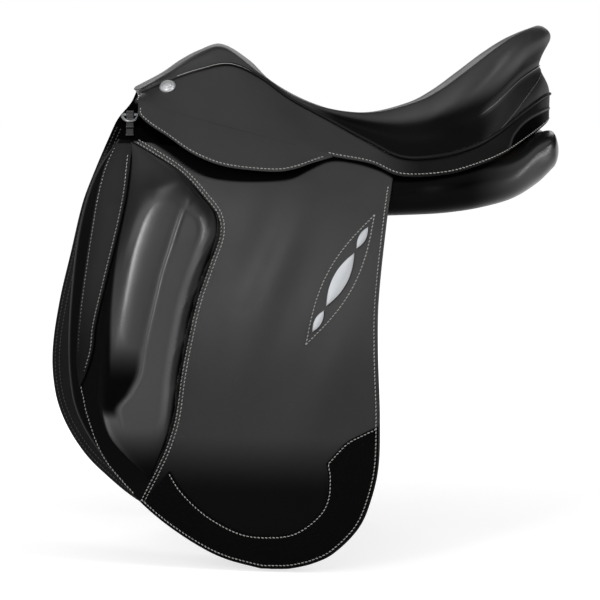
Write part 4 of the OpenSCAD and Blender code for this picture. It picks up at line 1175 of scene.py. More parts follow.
@dataclass
class Flap:
    """One hanging side: the skirt's lobe, the flap, and what is sewn on the flap."""

    finishes: Finishes
    side: Side
    lobe_from: float = -252.0
    lobe_to: float = -43.5
    lobe_stand: float = 5.0
    lobe_fade: float = 40.0
    skirt_low: float = SIZES.skirt_low
    drop: float = 373.0
    front: float = 327.0
    rear: float = 5.0
    level: float = 60.0
    crease_run: float = 9.0
    crease_h: float = 1.2
    fold_run: float = 17.0
    fold_h: float = 1.3
    block_h: float = 38.0
    block_top: float = -75.0
    block_foot: float = 278.0
    facing_top: float = -74.0
    facing_foot: float = 186.0
    patch_front: float = 308.0
    patch_rear: float = 221.0
    patch_inset: float = 1.2
    # Stitch rows: depths of their two ends, gaps from the edges they follow, and where the edge's row is on the patch.
    edge_row: tuple[float, float] = (306.0, -30.0)
    edge_inset: float = 4.0
    patch_ahead: float = -120.0
    patch_below: float = -222.0
    seam_row: tuple[float, float] = (-74.0, 276.0)
    seam_gaps: tuple[float, float] = (2.2, 5.6)
    seam_end: tuple[float, float] = (-250.0, -305.0)
    facing_row: tuple[float, float] = (-70.0, 298.0)
    facing_gap: float = 2.2
    facing_rear_row: tuple[float, float] = (-62.0, 170.0)
    facing_rear_gap: float = -4.6
    patch_gap: float = -2.0
    lobe_inset: float = 2.4
    lobe_least: float = 6.0
    inlay_centre: tuple[float, float] = (-36.0, -68.0)
    inlay_lean_deg: float = 62.0
    # Place along the slanted line, length and width of each leaf; half length and half width of the oval round them.
    leaves: tuple[tuple[float, float, float], ...] = ((0.0, 62.0, 15.0), (49.4, 24.8, 7.5), (-49.4, 24.8, 7.5))
    oval: tuple[float, float] = (78.0, 15.0)
    # Lines of the block and facing: depth and place along the horse. Of the patch and painted shadow: place and height.
    block_front: Pairs = ((-75, -259), (-55, -257.5), (-24, -260.5), (8, -266.5), (33, -272.5), (81, -284), (121, -290),
                          (144, -291.5), (187, -294), (213, -291), (239, -281), (262, -259), (278, -240))
    block_rear: Pairs = ((-75, -256), (-64, -237), (-43, -205), (-14, -178), (2, -166.5), (22, -164.5), (50, -174),
                         (90, -188), (132, -198), (174, -206), (216, -212), (248, -222), (278, -236))
    block_ridge: Pairs = ((-75, -257.2), (-50, -231), (-38, -213), (-27, -210), (-17, -216.5), (6.6, -231),
                          (34.8, -241), (64, -248), (123, -258.5), (164, -265), (220, -268), (278, -239))
    block_seam: Pairs = ((-75, -256.1), (-24.7, -191.5), (-8, -191.5), (9.7, -197.3), (36.9, -205.3), (65.7, -214.3),
                         (79.8, -217.7), (142.9, -232.4), (170, -237), (190, -247), (209.5, -260), (278, -239))
    facing_edge: Pairs = ((-72, -277), (-50, -287), (-18, -295.5), (19, -301.7), (54, -307), (107, -314), (156, -317),
                          (184, -314.2), (217, -307.7), (262, -289), (302, -254))
    facing_rear: Pairs = ((-78, -255.3), (-55.5, -258), (-23.7, -261), (8, -267), (33, -273), (81, -285), (121, -294.4),
                          (146.6, -297.2), (171, -304.7), (187, -312.4))
    patch_side: Pairs = ((-243.5, -306), (-216.7, -272))
    patch_arc: Pairs = ((-216.7, -272), (-202.9, -293.3), (-175.4, -317.9), (-141, -334.9), (-111.7, -337.6),
                        (-84.6, -333.3), (-61.1, -316.3), (-50.4, -298.1), (-48.6, -274.6), (-51, -260.3))
    patch_rise: Pairs = ((-51, -260.3), (-30.6, -238.3), (-12.7, -228.2), (3, -220.5))
    shade_edge: Pairs = ((-262, 96), (-249, 84), (-222, 66), (-200, 50), (-184, 41), (-163, 35.6), (-131, 33.6),
                         (-104, 34.7), (-85, 38), (-67, 47), (-45, 56), (-19, 54), (7, 46), (22, 38))

    @property
    def body(self) -> str:
        """The flap's body."""
        return f"{self.side.word}_flap"

    @property
    def lobe_edge(self) -> Pairs:
        """Lower edge of the lobe: place along the horse and height."""
        k = self.skirt_low
        tip = float(SIDE.fold(np.array(self.lobe_from - 4))[2]) - 3
        return [(self.lobe_from - 4, tip), (-252, k + 60), (-239, k + 47), (-222, k + 35), (-195, k + 16.5),
                (-171, k + 5.5), (-152, k + 0.4), (-125, k - 2.9), (-99, k - 4), (-82, k - 0.8), (-66, k + 6),
                (-54, k + 10.6), (-46, k + 13), (-41, k + 14)]

    @property
    def front_edge(self) -> Pairs:
        """Front edge of the flap: depth and place along the horse."""
        f, d = -self.front, self.drop
        return [(-80, f + 54), (-45, f + 31), (-2, f + 16), (56, f + 6), (140, f), (d - 178, f + 4), (d - 147, f + 15),
                (d - 115, f + 36), (d - 84, f + 61), (d - 60, f + 85), (d - 38, f + 114), (d - 18, f + 148),
                (d - 8, f + 173), (d, f + 208)]

    @property
    def rear_edge(self) -> Pairs:
        """Rear edge of the flap: depth and place along the horse."""
        r, d = self.rear, self.drop
        return [(-46, r + 17), (2, r + 9), (90, r - 1), (142, r - 2), (215, r), (d - 106, r - 2), (d - 64, r - 13),
                (d - 43, r - 24), (d - 22, r - 44), (d - 10, r - 63), (d - 1, r - 95), (d, r - 122)]

    @property
    def top_edge(self) -> Pairs:
        """Top edge of the flap: place along the horse and height."""
        k = self.skirt_low
        return [(-self.front + 54, 80), (-235, k + 30), (-195, k + 24), (-150, k + 12), (-110, k + 4), (-85, k + 9),
                (-62, k + 16), (-40, k + 15.5), (-19.5, k + 13), (7, k + 6), (self.rear + 17, k)]

    def lobe_offset(self, x: Array, r: Array) -> Array:
        """How far the lobe's face stands out: a square rise towards its edge, dying away at its two ends."""
        fade = smooth((x - self.lobe_from) / self.lobe_fade) * smooth((self.lobe_to - 6.0 - x) / self.lobe_fade)
        return self.lobe_stand * fade * r ** 2

    def build_lobe(self) -> None:
        """The skirt's lobe: rows from the fold down to its edge, standing out over the stirrup bar.

        Its stitches run down its front and along its edge, as far as there is room for them below the fold.
        """
        x = lerp(self.lobe_from, self.lobe_to, ease(150))[:, None]
        r = ease(40)[None]
        top = SIDE.fold(x[:, 0])[:, 2][:, None] - 0.05
        z = lerp(top, np.minimum(curve(self.lobe_edge, x), top - 0.3), r)
        places = np.stack(np.broadcast_arrays(x, z), axis=-1)
        edge = outline_distance(places, "r")
        out = self.lobe_offset(places[..., 0], np.broadcast_to(r, z.shape))
        shell = slab(SIDE.at(places, out - LAYERS.skirt_t / 2), SIDE.normal(places[..., 0], z), LAYERS.skirt_t, edge)
        add_sided(self.side, "lobe_*_leather", shell, self.finishes.butt, "*_lobe", "skirt_lobe_*")
        line = np.linspace(self.lobe_from + 2.6, self.lobe_to - 5, 240)
        room = SIDE.fold(line)[:, 2] - curve(self.lobe_edge, line)
        line, room = line[room > self.lobe_least], room[room > self.lobe_least]
        down = np.clip(1 - self.lobe_inset / room, 0.3, 1)
        line = np.concatenate([np.full(12, line[0]), line])
        down = np.concatenate([np.linspace(0.35, down[0], 12, endpoint=False), down])
        height = lerp(SIDE.fold(line)[:, 2], curve(self.lobe_edge, line), down)
        row = STITCH.along(SIDE.point(line, height, self.lobe_offset(line, down)), SIDE.normal(line, height))
        add_sided(self.side, "lobe_stitches_*", row, self.finishes.thread, "*_lobe")

    def outline(self, low: float, high: float) -> Array:
        """The flap's edge from a depth down its front, round its foot and up its rear to another depth.

        Args:
            low: depth of its start on the front edge.
            high: depth of its end on the rear edge.

        Returns:
            Rows of x and z.
        """
        foot = self.drop - 0.02
        down, up = lerp(low, foot, ease(240)), lerp(foot, high, ease(240))
        return np.concatenate([edge_line(self.front_edge, down), edge_line(self.rear_edge, up)])

    def shade(self, x: Array, z: Array) -> Array:
        """Painted shadow: tone of the strip that the skirt keeps out of the light, near 1 over its lower border, 0
        under it.
        """
        return 0.97 * smooth((z - curve(self.shade_edge, x) + 1.5) / 3.0)

    def build_flap(self) -> None:
        """The flap: a hanging leaf with soft creases, with painted shade where the skirt shades it and towards its
        foot.

        The creases are two slanted sine waves, each faded by bell curves along and down. The tone is painted shade: the
        darkest of the skirt's shadow, the groove behind the block, the strip ahead of it and the slow fall to the foot.
        """
        places = leaf_net(self.front_edge, self.rear_edge, self.top_edge, self.level, self.drop, 190, 110)
        x, z = places[..., 0], places[..., 1]
        slant = (x + 100.0) * 0.9 - (z + 20.0) * 0.43
        crease = np.sin(slant / self.crease_run) * bump(x, -105.0, 42.0) * bump(z, -45.0, 95.0)
        fold = np.sin(slant / self.fold_run + 1.0) * bump(x, -70.0, 70.0) * bump(z, -130.0, 120.0)
        # Painted shade in the groove behind the block, on the strip ahead of it and towards the foot.
        welt = x - curve(self.block_rear, -z)
        groove = smooth((welt + 7.0) / 2.0) * smooth((1.0 - welt) / 1.2) * smooth((z + 290.0) / 6.0)
        ahead = smooth((curve(self.block_front, -z) + 4.0 - x) / 3.0)
        ahead = ahead * smooth((x - curve(self.front_edge, -z) - 1.4) / 1.4)
        foot = np.maximum(0.91 * smooth((-197.0 - z) / 97.0), 0.3 * smooth((-80.0 - z) / 110.0))
        tone = np.maximum.reduce([self.shade(x, z), 0.94 * groove, 0.92 * ahead, foot])
        relief = self.crease_h * crease + self.fold_h * fold
        shell = side_sheet(places, LAYERS.flap_out - LAYERS.flap_t / 2, LAYERS.flap_t, relief, tone)
        add_sided(self.side, "flap_*_leather", shell, self.finishes.butt, self.body, "flap_*")

    def across(self, line: Pairs, depth: Array) -> Array:
        """Where a line lies across the block at a depth: 0 at its front edge, 1 at its rear edge."""
        front, rear = curve(self.block_front, depth), curve(self.block_rear, depth)
        return np.clip((curve(line, depth) - front) / (rear - front), 0.1, 0.97)

    def ridge_at(self, depth: Array) -> Array:
        """Where the ridge lies across the block: over its top the line runs out to the rear edge."""
        return lerp(self.across(self.block_ridge, depth), 0.97, smooth((-20.0 - depth) / 26.0))

    def from_rear(self, x: Array, depth: Array) -> Array:
        """Distance of places on the block from the nearest point of its rear edge, which also runs over its top.

        Args:
            x: places along the horse.
            depth: places down.

        Returns:
            The distances.
        """
        run = lerp(self.block_top, self.block_foot, ease(180))
        edge = np.stack([curve(self.block_rear, run), run], axis=-1)
        return np.linalg.norm(np.stack([x, depth], axis=-1)[..., None, :] - edge, axis=-1).min(axis=-1)

    def block_height(self, c: Array, depth: Array, away: Array) -> Array:
        """Height of the thigh block: a steep front wall, a round ridge, a long fall and a quarter round at the rear.

        The quarter round is broad over the top, where it makes a dome. A fine bead lies behind the ridge.

        Args:
            c: place across, 0 at the front edge and 1 at the rear edge.
            depth: place down.
            away: distance from the rear edge.

        Returns:
            The heights.
        """
        h = self.block_h
        crown = curve([(-75, h - 33), (-45, h - 21), (-25, h - 12), (-5, h - 5), (40, h), (120, h - 1), (190, h - 6),
                       (240, h - 17), (278, h - 33)], depth)
        ridge, seam = self.ridge_at(depth), self.across(self.block_seam, depth)
        ahead = np.clip(c / ridge, 0, 1)
        behind = np.clip((c - ridge) / (1 - ridge), 0, 1)
        step = curve([(-75, 0.8), (-30, 0.8), (20, 0.68), (100, 0.62), (200, 0.6), (278, 0.65)], depth)
        rise = 1 - (1 - ahead) ** 2.3
        fall = 1 - (1 - step) * behind ** 1.5
        round_w = curve([(-75, 42), (-40, 42), (-10, 30), (25, 17), (60, 15), (278, 14)], depth)
        heel = quarter_round(away / round_w)
        bead = 0.85 * bump(c, seam, 0.018) - 0.5 * bump(c, seam - 0.045, 0.03)
        left = self.block_foot - depth
        keep = smooth(c / 0.1) * smooth((away - 3.0) / 6.0) * smooth(left / 60.0) * smooth((depth + 26.0) / 22.0)
        return quarter_round(left / 22.0) * (crown * rise * fall * heel + bead * keep)

    def block_tone(self, c: Array, depth: Array, away: Array, x: Array) -> Array:
        """Painted shade of the block: the skirt's shadow, and shade on its rear seam, its front wall and its foot.

        Its faces get a little painted shade, and its ridge, bead and heel are left bright as painted highlights. The
        tone is the darkest of these.

        Args:
            c: place across, 0 at the front edge and 1 at the rear edge.
            depth: place down.
            away: distance from the rear edge.
            x: place along the horse.

        Returns:
            The tones.
        """
        ridge, seam = self.ridge_at(depth), self.across(self.block_seam, depth)
        # Painted highlights along the ridge, bead and heel, where the faces' painted shade is taken off.
        painted_highlight = np.maximum.reduce([bump(c, ridge - 0.02, 0.095) * smooth((depth + 38.0) / 24.0),
                                    0.95 * bump(away, 6.5, 3.6) * smooth((depth + 10.0) / 30.0),
                                    0.7 * bump(c, seam, 0.02)])
        shade_dulled = (0.26 + 0.15 * smooth((seam - c) / 0.1) + 0.1 * smooth((-10.0 - depth) / 30.0)) * (1 - painted_highlight)
        rear = 0.96 * (1 - smooth((away - 0.8) / 2.4))
        wall = curve([(-75, 0.02), (20, 0.05), (80, 0.17), (120, 0.23), (150, 0.27), (175, 0.3), (215, 0.14),
                      (278, 0.1)], depth)
        front = 0.95 * (1 - smooth((c - wall) / 0.08 + 0.5))
        low = 0.95 * smooth((depth - 112.0) / 66.0) * (1 - smooth((depth - 206.0) / 16.0)) * smooth((seam - c) / 0.1)
        foot = 0.92 * smooth((depth - 202.0) / 72.0)
        return np.maximum.reduce([shade_dulled, self.shade(x, -depth), rear, front, low, foot])

    def build_block(self) -> None:
        """The thigh block: a padded form on the flap, of rows from its front edge to its rear edge."""
        depth = lerp(self.block_top, self.block_foot, ease(190))[:, None]
        c = ease(110)[None]
        x = lerp(curve(self.block_front, depth), curve(self.block_rear, depth), c)
        z = np.broadcast_to(-depth, x.shape)
        c, depth = np.broadcast_arrays(c, depth)
        away = self.from_rear(x, depth)
        over = SIDE.point(x, z, LAYERS.overlay_out + self.block_height(c, depth, away))
        tone = self.block_tone(c, depth, away, x)
        shell = Shell.between(over, SIDE.point(x, z, LAYERS.overlay_in), tone)
        piece = add_sided(self.side, "thigh_block_*_pad", shell, self.finishes.gloss, self.body,
                          "thigh_block_*")

    def build_overlays(self) -> None:
        """The facing ahead of the block and the wear patch at the foot, both sewn flat on the flap.

        The facing's rows run straight from front to rear edge, the patch's from its top line to the flap's edge.
        """
        middle, thick = 0.5 * (LAYERS.overlay_in + LAYERS.overlay_out), LAYERS.overlay_out - LAYERS.overlay_in
        depth = lerp(self.facing_top, self.facing_foot, ease(150))[:, None]
        u = ease(40)[None]
        x = lerp(curve(self.facing_edge, depth), curve(self.facing_rear, depth) - 0.8, u)
        places = np.stack([x, np.broadcast_to(-depth, x.shape)], axis=-1)
        swell = (1.2 * np.sin(np.pi * u) ** 0.7 + 0.7 * bump(u, 0.93, 0.03)) * np.ones_like(x)
        # Painted shade: the facing is darkened, more towards its foot, and nearly black along its rear edge by the
        # block.
        tone = np.maximum(0.6 + 0.22 * smooth((depth - 60.0) / 100.0), 0.9 * smooth((u - 0.97) / 0.02))
        shell = side_sheet(places, middle, thick, swell, tone * np.ones_like(x))
        add_sided(self.side, "facing_*_leather", shell, self.finishes.butt, self.body,
                  "block_facing_*")
        top = np.concatenate([np.array(self.patch_side), self.patch_top(0.0, 0.0)])
        low = inset(even_path(self.outline(self.patch_front, self.patch_rear), 2.0), self.patch_inset)
        edges = [even_path(edge, 1.0, 260)[:, None] for edge in (top, low)]
        shell = side_sheet(lerp(*edges, ease(44)[None, :, None]), middle, thick)
        add_sided(self.side, "wear_patch_*_leather", shell, self.finishes.pebble, self.body,
                  "flap_patch_*")

    def patch_top(self, skip: float, short: float) -> Array:
        """The patch's top line, its arc and then its rise.

        Args:
            skip: stations left out at the start of the arc.
            short: stations left out at the end of the rise.

        Returns:
            Rows of x and z.
        """
        arc, rise = self.patch_arc, self.patch_rise
        return np.concatenate([spline(arc, np.linspace(skip, len(arc) - 1, 120)),
                               spline(rise, np.linspace(0, len(rise) - 1 - short, 40))])

    def inlay_place(self, along: Array, across: Array) -> Array:
        """Places on the flap, from distances on the inlay's slanted line.

        Args:
            along: distances along it from the inlay's middle.
            across: distances across it.

        Returns:
            Rows of x and z.
        """
        turn = math.radians(self.inlay_lean_deg)
        way, perp = np.array([math.cos(turn), math.sin(turn)]), np.array([-math.sin(turn), math.cos(turn)])
        return np.array(self.inlay_centre) + along[..., None] * way + across[..., None] * perp

    def build_inlay(self) -> None:
        """Three slim silver leaves on a slanted line: half width times 1 less the square of the place along."""
        s, v = lerp(-1.0, 1.0, ease(40))[:, None], lerp(-1.0, 1.0, ease(14))[None]
        dome = 0.5 * (1 - v * v) * np.ones_like(s)
        parts = []
        for shift, length, width in self.leaves:
            half = np.maximum(width / 2 * (1 - s * s), 0.4)
            places = self.inlay_place(shift + s * length / 2, half * v)
            parts.append(Shell.between(SIDE.at(places, LAYERS.overlay_out + dome), SIDE.at(places, LAYERS.overlay_in)))
        add_sided(self.side, "inlay_*_leaves", Shell.join(parts), self.finishes.silver_skin, self.body,
                  "flap_inlay_*")

    def build_stitches(self) -> None:
        """Stitch rows: flap edge, block seam, facing, patch and the pointed oval round the inlay.

        The oval's half width is 1 less the square of the place along, to the power of 1.2.
        """
        path = inset(even_path(self.outline(*self.edge_row), 2.0), self.edge_inset)
        on_patch = (path[:, 0] < self.patch_ahead) | (path[:, 1] < self.patch_below)
        rows = [STITCH.on_side(path, np.where(on_patch, LAYERS.overlay_out, LAYERS.flap_out))]
        depth = lerp(*self.seam_row, ease(300))
        edge = even_path(np.concatenate([edge_line(self.block_rear, depth), [self.seam_end]]), 2.0)
        for gap in self.seam_gaps:
            rows.append(STITCH.on_side(inset(edge, gap), LAYERS.flap_out))
        depth = np.linspace(*self.facing_row, 240)
        layer = np.where(depth < self.facing_foot - 2.0, LAYERS.overlay_out, LAYERS.flap_out)
        rows.append(STITCH.on_side(edge_line(self.facing_edge, depth, self.facing_gap), layer))
        depth = np.linspace(*self.facing_rear_row, 160)
        line = edge_line(self.facing_rear, depth, self.facing_rear_gap)
        rows.append(STITCH.on_side(line, LAYERS.overlay_out + 0.5))
        line = inset(even_path(self.patch_top(0.1, 0.1), 2.0), self.patch_gap)
        rows.append(STITCH.on_side(line, LAYERS.overlay_out))
        s = np.linspace(-1, 1, 80)
        length, width = self.oval
        for sign in (-1, 1):
            oval = self.inlay_place(length * s, sign * width * (1 - s * s) ** 1.2)
            rows.append(STITCH.on_side(oval, LAYERS.flap_out))
        add_sided(self.side, "flap_stitches_*", Shell.join(rows), self.finishes.thread, self.body)

    def build(self) -> None:
        """Builds the lobe, the flap and all that is sewn on it."""
        self.build_lobe()
        self.build_flap()
        self.build_block()
        self.build_overlays()
        self.build_inlay()
        self.build_stitches()


# Under the flap

@dataclass
class Underside:
    """One side's under parts: sweat flap, panel, girth straps, pocket and dee chape."""

    finishes: Finishes
    side: Side
    front: float = 348.5
    rear: float = 5.0
    drop: float = 347.0
    level: float = 40.0
    sweat_gaps: tuple[float, float] = (4.0, 8.5)
    strap_w: float = 25.0
    strap_top: float = 40.0
    strap_drop: float = 316.0
    hole_r: float = 3.0
    hole_rise: float = 70.0
    panel_full: float = 2.5
    panel_cap: float = 0.9
    ripple_h: float = 0.5
    ripple_run: float = 11.0
    cantle_reach: float = SIZES.cantle_reach
    panel_rise: float = 58.0
    head_r: float = 73.0
    head_t: float = 11.0
    head_mid: float = SIZES.head_mid
    point_reach: float = 87.42
    point_flare_deg: float = 40.0
    pocket_gap: float = 0.3
    pocket_wall: float = 3.0
    pocket_depth: float = 16.0
    pocket_from: float = -208.0
    pocket_to: float = -162.0
    chape_x: float = -261.0
    chape_z: float = 101.0
    chape_half: float = 4.3
    chape_t: float = 2.0
    chape_loop_r: float = 3.15

    @property
    def panel_sections(self) -> Array:
        """Panel sections: place, middle across, middle height, half width, half thickness, tilt in degrees."""
        c, r = self.cantle_reach, self.panel_rise
        return np.array([
            [-246, 78, 72, 12, 5, -50], [-240, 77, 69, 28, 11, -50], [-215, 73.4, 52, 40, 14.5, -48],
            [-180, 77, 39.3, 48.5, 16.5, -45], [-140, 82.5, 34.5, 52.5, 18.5, -40], [-100, 85, 31, 54, 20.5, -35],
            [-50, 88.7, 28.5, 56.4, 23, -27], [0, 90, 28.5, 57.5, 25, -20], [45, 90.5, 29.5, 58, 27, -16],
            [c - 119, 92, 31.5, 60, 28, -13], [c - 84, 89.5, 34.6, 57, 27, -11], [c - 49, 83.5, 41, 51, 25, -9],
            [c - 22, 77, r - 2, 43, 25.5, -7], [c - 5, 74, r + 8, 36, 20, -6], [c + 3, 73, r + 8, 24, 12, -6]])

    def build_panel(self) -> None:
        """The stuffed panel: a full oval section carried along the horse, closed in a round at both ends.

        A section's point is its half sizes times cosine and sine raised to 2 / fullness, turned by its tilt. A low sine
        wave ripples its outer edge.
        """
        s = self.panel_sections
        t = ease(170, len(s) - 1.0)
        row = spline(s, t)
        ends = np.minimum(t, len(s) - 1.0 - t)
        cap = quarter_round(ends / self.panel_cap)
        turn = around(72)
        power = 2 / self.panel_full
        cu = np.sign(np.cos(turn)) * np.abs(np.cos(turn)) ** power
        sv = np.sign(np.sin(turn)) * np.abs(np.sin(turn)) ** power
        wave = self.ripple_h * np.sin(row[:, :1] / self.ripple_run) * bump(turn[None], 0.0, 0.5)
        u = (row[:, 3] * cap)[:, None] * cu[None] + wave
        v = (row[:, 4] * cap)[:, None] * sv[None]
        tilt = np.radians(row[:, 5])[:, None]
        net = np.stack([np.broadcast_to(row[:, :1], u.shape),
                        row[:, 1:2] + u * np.cos(tilt) - v * np.sin(tilt),
                        row[:, 2:3] + u * np.sin(tilt) + v * np.cos(tilt)], axis=-1)
        # Painted shade darkens the panel except towards its rear end, which keeps its gloss.
        tone = 0.9 * (1 - smooth((row[:, :1] - 100.0) / 70.0)) * np.ones_like(u)
        shell = Shell.grid(net, wrap=True, tone=tone)
        piece = add_sided(self.side, "panel_*_pad", shell, self.finishes.soft, "saddle", "panel_*")

    def build_sweat_flap(self) -> None:
        """The sweat flap: a hanging leaf next to the horse, stitched round its front edge."""
        f, r, d = -self.front, self.rear, self.drop
        front = [(-140, f + 93), (-128, f + 88), (-109, f + 74), (-87, f + 64), (-44, f + 46), (-12, f + 34),
                 (41, f + 21), (95, f + 8), (150, f), (d - 154, f + 3), (d - 122, f + 14), (d - 91, f + 34),
                 (d - 70, f + 55), (d - 40, f + 95), (d - 20, f + 140), (d - 7, f + 180), (d, f + 221)]
        rear = [(-10, r + 3), (60, r - 11), (150, r - 17), (d - 95, r - 19), (d - 50, r - 27), (d - 22, r - 55),
                (d - 7, r - 90), (d, r - 124)]
        top = [(f + 93, 140), (-240, 112), (-222, 66), (-207, 30), (-150, 22), (-80, 18), (r + 3, 10)]
        places = leaf_net(front, rear, top, self.level, d, 170, 90)
        # Painted shade: the sweat flap is darkened all over, nearly black towards its top.
        tone = 0.78 + 0.19 * smooth((places[..., 1] - 55.0) / 30.0)
        shell = side_sheet(places, LAYERS.sweat_out - LAYERS.sweat_t / 2, LAYERS.sweat_t, tone=tone)
        add_sided(self.side, "sweat_flap_*_leather", shell, self.finishes.soft, "saddle",
                  "sweat_flap_*")
        down = lerp(-100.0, d - 2.0, ease(240))
        edge = even_path(edge_line(front, down), 2.0)
        rows = Shell.join([STITCH.on_side(inset(edge, gap), LAYERS.sweat_out) for gap in self.sweat_gaps])
        add_sided(self.side, "sweat_stitches_*", rows, self.finishes.black_thread, "saddle")

    def hole_tile(self, cells: int) -> Array:
        """Net from a round hole out to the square round it: straight rays between circle and square.

        Args:
            cells: faces along each side of the square.

        Returns:
            Rays by steps by 2.
        """
        k = np.arange(4 * cells + 1)
        side, u = (k // cells) % 4, (k % cells) / cells * 2 - 1
        square = np.stack([np.select([side == 0, side == 1, side == 2], [u, 1.0 + 0 * u, -u], -1.0 + 0 * u),
                           np.select([side == 0, side == 1, side == 2], [-1.0 + 0 * u, u, 1.0 + 0 * u], -u)], axis=1)
        ring = unit(square) * self.hole_r
        return lerp(ring[:, None], square[:, None] * self.strap_w / 2, np.linspace(0, 1, 6)[None, :, None])

    def build_strap(self, name: str, x: float) -> None:
        """A girth strap: square tiles round the buckle holes, plain leather above and below, given its thickness.

        Args:
            name: front or rear.
            x: place of its middle along the horse.
        """
        cells = 12
        middle = -self.strap_drop + self.hole_rise
        half = self.strap_w / 2
        v = np.linspace(-1, 1, cells + 1)[None]
        parts = []
        for high, low, rows in ((self.strap_top, middle + 2 * self.strap_w, 60),
                                (middle - 2 * self.strap_w, -self.strap_drop, 12)):
            z = np.linspace(high, low, rows)[:, None]
            taper = (half - 5.0 * smooth(1 - (self.strap_top - z) / 8.0)
                     - 6.0 * smooth(1 - (z + self.strap_drop) / 14.0))
            parts.append(np.stack(np.broadcast_arrays(x + v * taper, z), axis=-1))
        tile = self.hole_tile(cells)
        parts += [tile + [x, middle + k * self.strap_w] for k in (-1.5, -0.5, 0.5, 1.5)]
        outer, inner = LAYERS.strap_mid + LAYERS.strap_t / 2, LAYERS.strap_mid - LAYERS.strap_t / 2
        faces = [face for net in parts
                 for face in (Shell.grid(SIDE.at(net, outer)), Shell.grid(SIDE.at(net, inner)[:, ::-1]))]
        walls = [parts[0][:, 0], parts[0][:, -1], parts[0][0], parts[1][:, 0], parts[1][:, -1], parts[1][-1]]
        walls += [p[:, 0] for p in parts[2:]]
        for p in parts[2:]:
            walls += [p[cells:2 * cells + 1, -1], p[3 * cells:4 * cells + 1, -1]]
        faces += [Shell.grid(np.stack([SIDE.at(line, outer), SIDE.at(line, inner)])) for line in walls]
        add_sided(self.side, f"{name}_strap_*_leather", Shell.join(faces), self.finishes.soft, f"*_{name}_strap",
                  f"{name}_strap_*")

    def build_pocket(self) -> None:
        """The point pocket: a sleeve of lining hide whose U-shaped section is carried along the tree's point."""
        flare = math.radians(self.point_flare_deg)
        depth, clear = self.pocket_depth, self.pocket_gap + self.pocket_wall / 2
        a, b, c = -clear, self.head_t + clear, -clear
        bend = np.radians(np.linspace(0, 90, 8))
        left = np.stack([a + 2 - 2 * np.cos(bend), c + 2 - 2 * np.sin(bend)], axis=1)
        right = np.stack([b - 2 + 2 * np.sin(bend), c + 2 - 2 * np.cos(bend)], axis=1)
        path = even_path(np.concatenate([[[a, depth]], left, right, [[b, depth]]]), 0.8)
        local = path + [self.head_r - self.head_t, -self.point_reach]
        y = math.cos(flare) * local[:, 0] - math.sin(flare) * local[:, 1]
        z = self.head_mid + math.sin(flare) * local[:, 0] + math.cos(flare) * local[:, 1]
        x = lerp(self.pocket_from, self.pocket_to, ease(40))
        net = np.stack(np.broadcast_arrays(x[None], y[:, None], z[:, None]), axis=-1).copy()
        shell = plain_sheet(net, self.pocket_wall - 0.2)
        add_sided(self.side, "pocket_*_hide", shell, self.finishes.lining, "saddle", "point_pocket_*")

    def build_chape(self) -> None:
        """The dee's chape: a strap that lies on the sweat flap, loops round the dee's bar and comes back on itself.

        Its path, of pairs down and out from the sweat flap, is carried across the strap's width.
        """
        x0, z0 = np.array(self.chape_x), np.array(self.chape_z)
        n = SIDE.normal(x0, z0)
        base = SIDE.point(x0, z0, LAYERS.sweat_out + 0.3)
        along = unit(np.array([n[1], -n[0], 0.0]))
        down = np.cross(n, along)
        turn = np.radians(np.linspace(270, 45, 40))
        loop = np.stack([-9 + self.chape_loop_r * np.cos(turn), 5.5 + self.chape_loop_r * np.sin(turn)], axis=1)
        path = np.concatenate([[[15.0, 1.2], [4.0, 1.2], [-5.0, 1.35], [-7.6, 1.9]], loop,
                               [[-4.6, 5.4], [-1.0, 4.1], [6.0, 3.5]]])
        path = even_path(path, 0.7)
        span = lerp(-self.chape_half, self.chape_half, ease(16))
        net = base + path[:, None, :1] * down + path[:, None, 1:] * n + span[None, :, None] * along
        shell = plain_sheet(net, self.chape_t)
        add_sided(self.side, "chape_*_leather", shell, self.finishes.soft, "saddle", "dee_chape_*")

    def build(self) -> None:
        """Builds the panel, the sweat flap, the straps, the pocket and the chape."""
        self.build_panel()
        self.build_sweat_flap()
        for name, x in SIZES.strap_x:
            self.build_strap(name, x)
        self.build_pocket()
        self.build_chape()


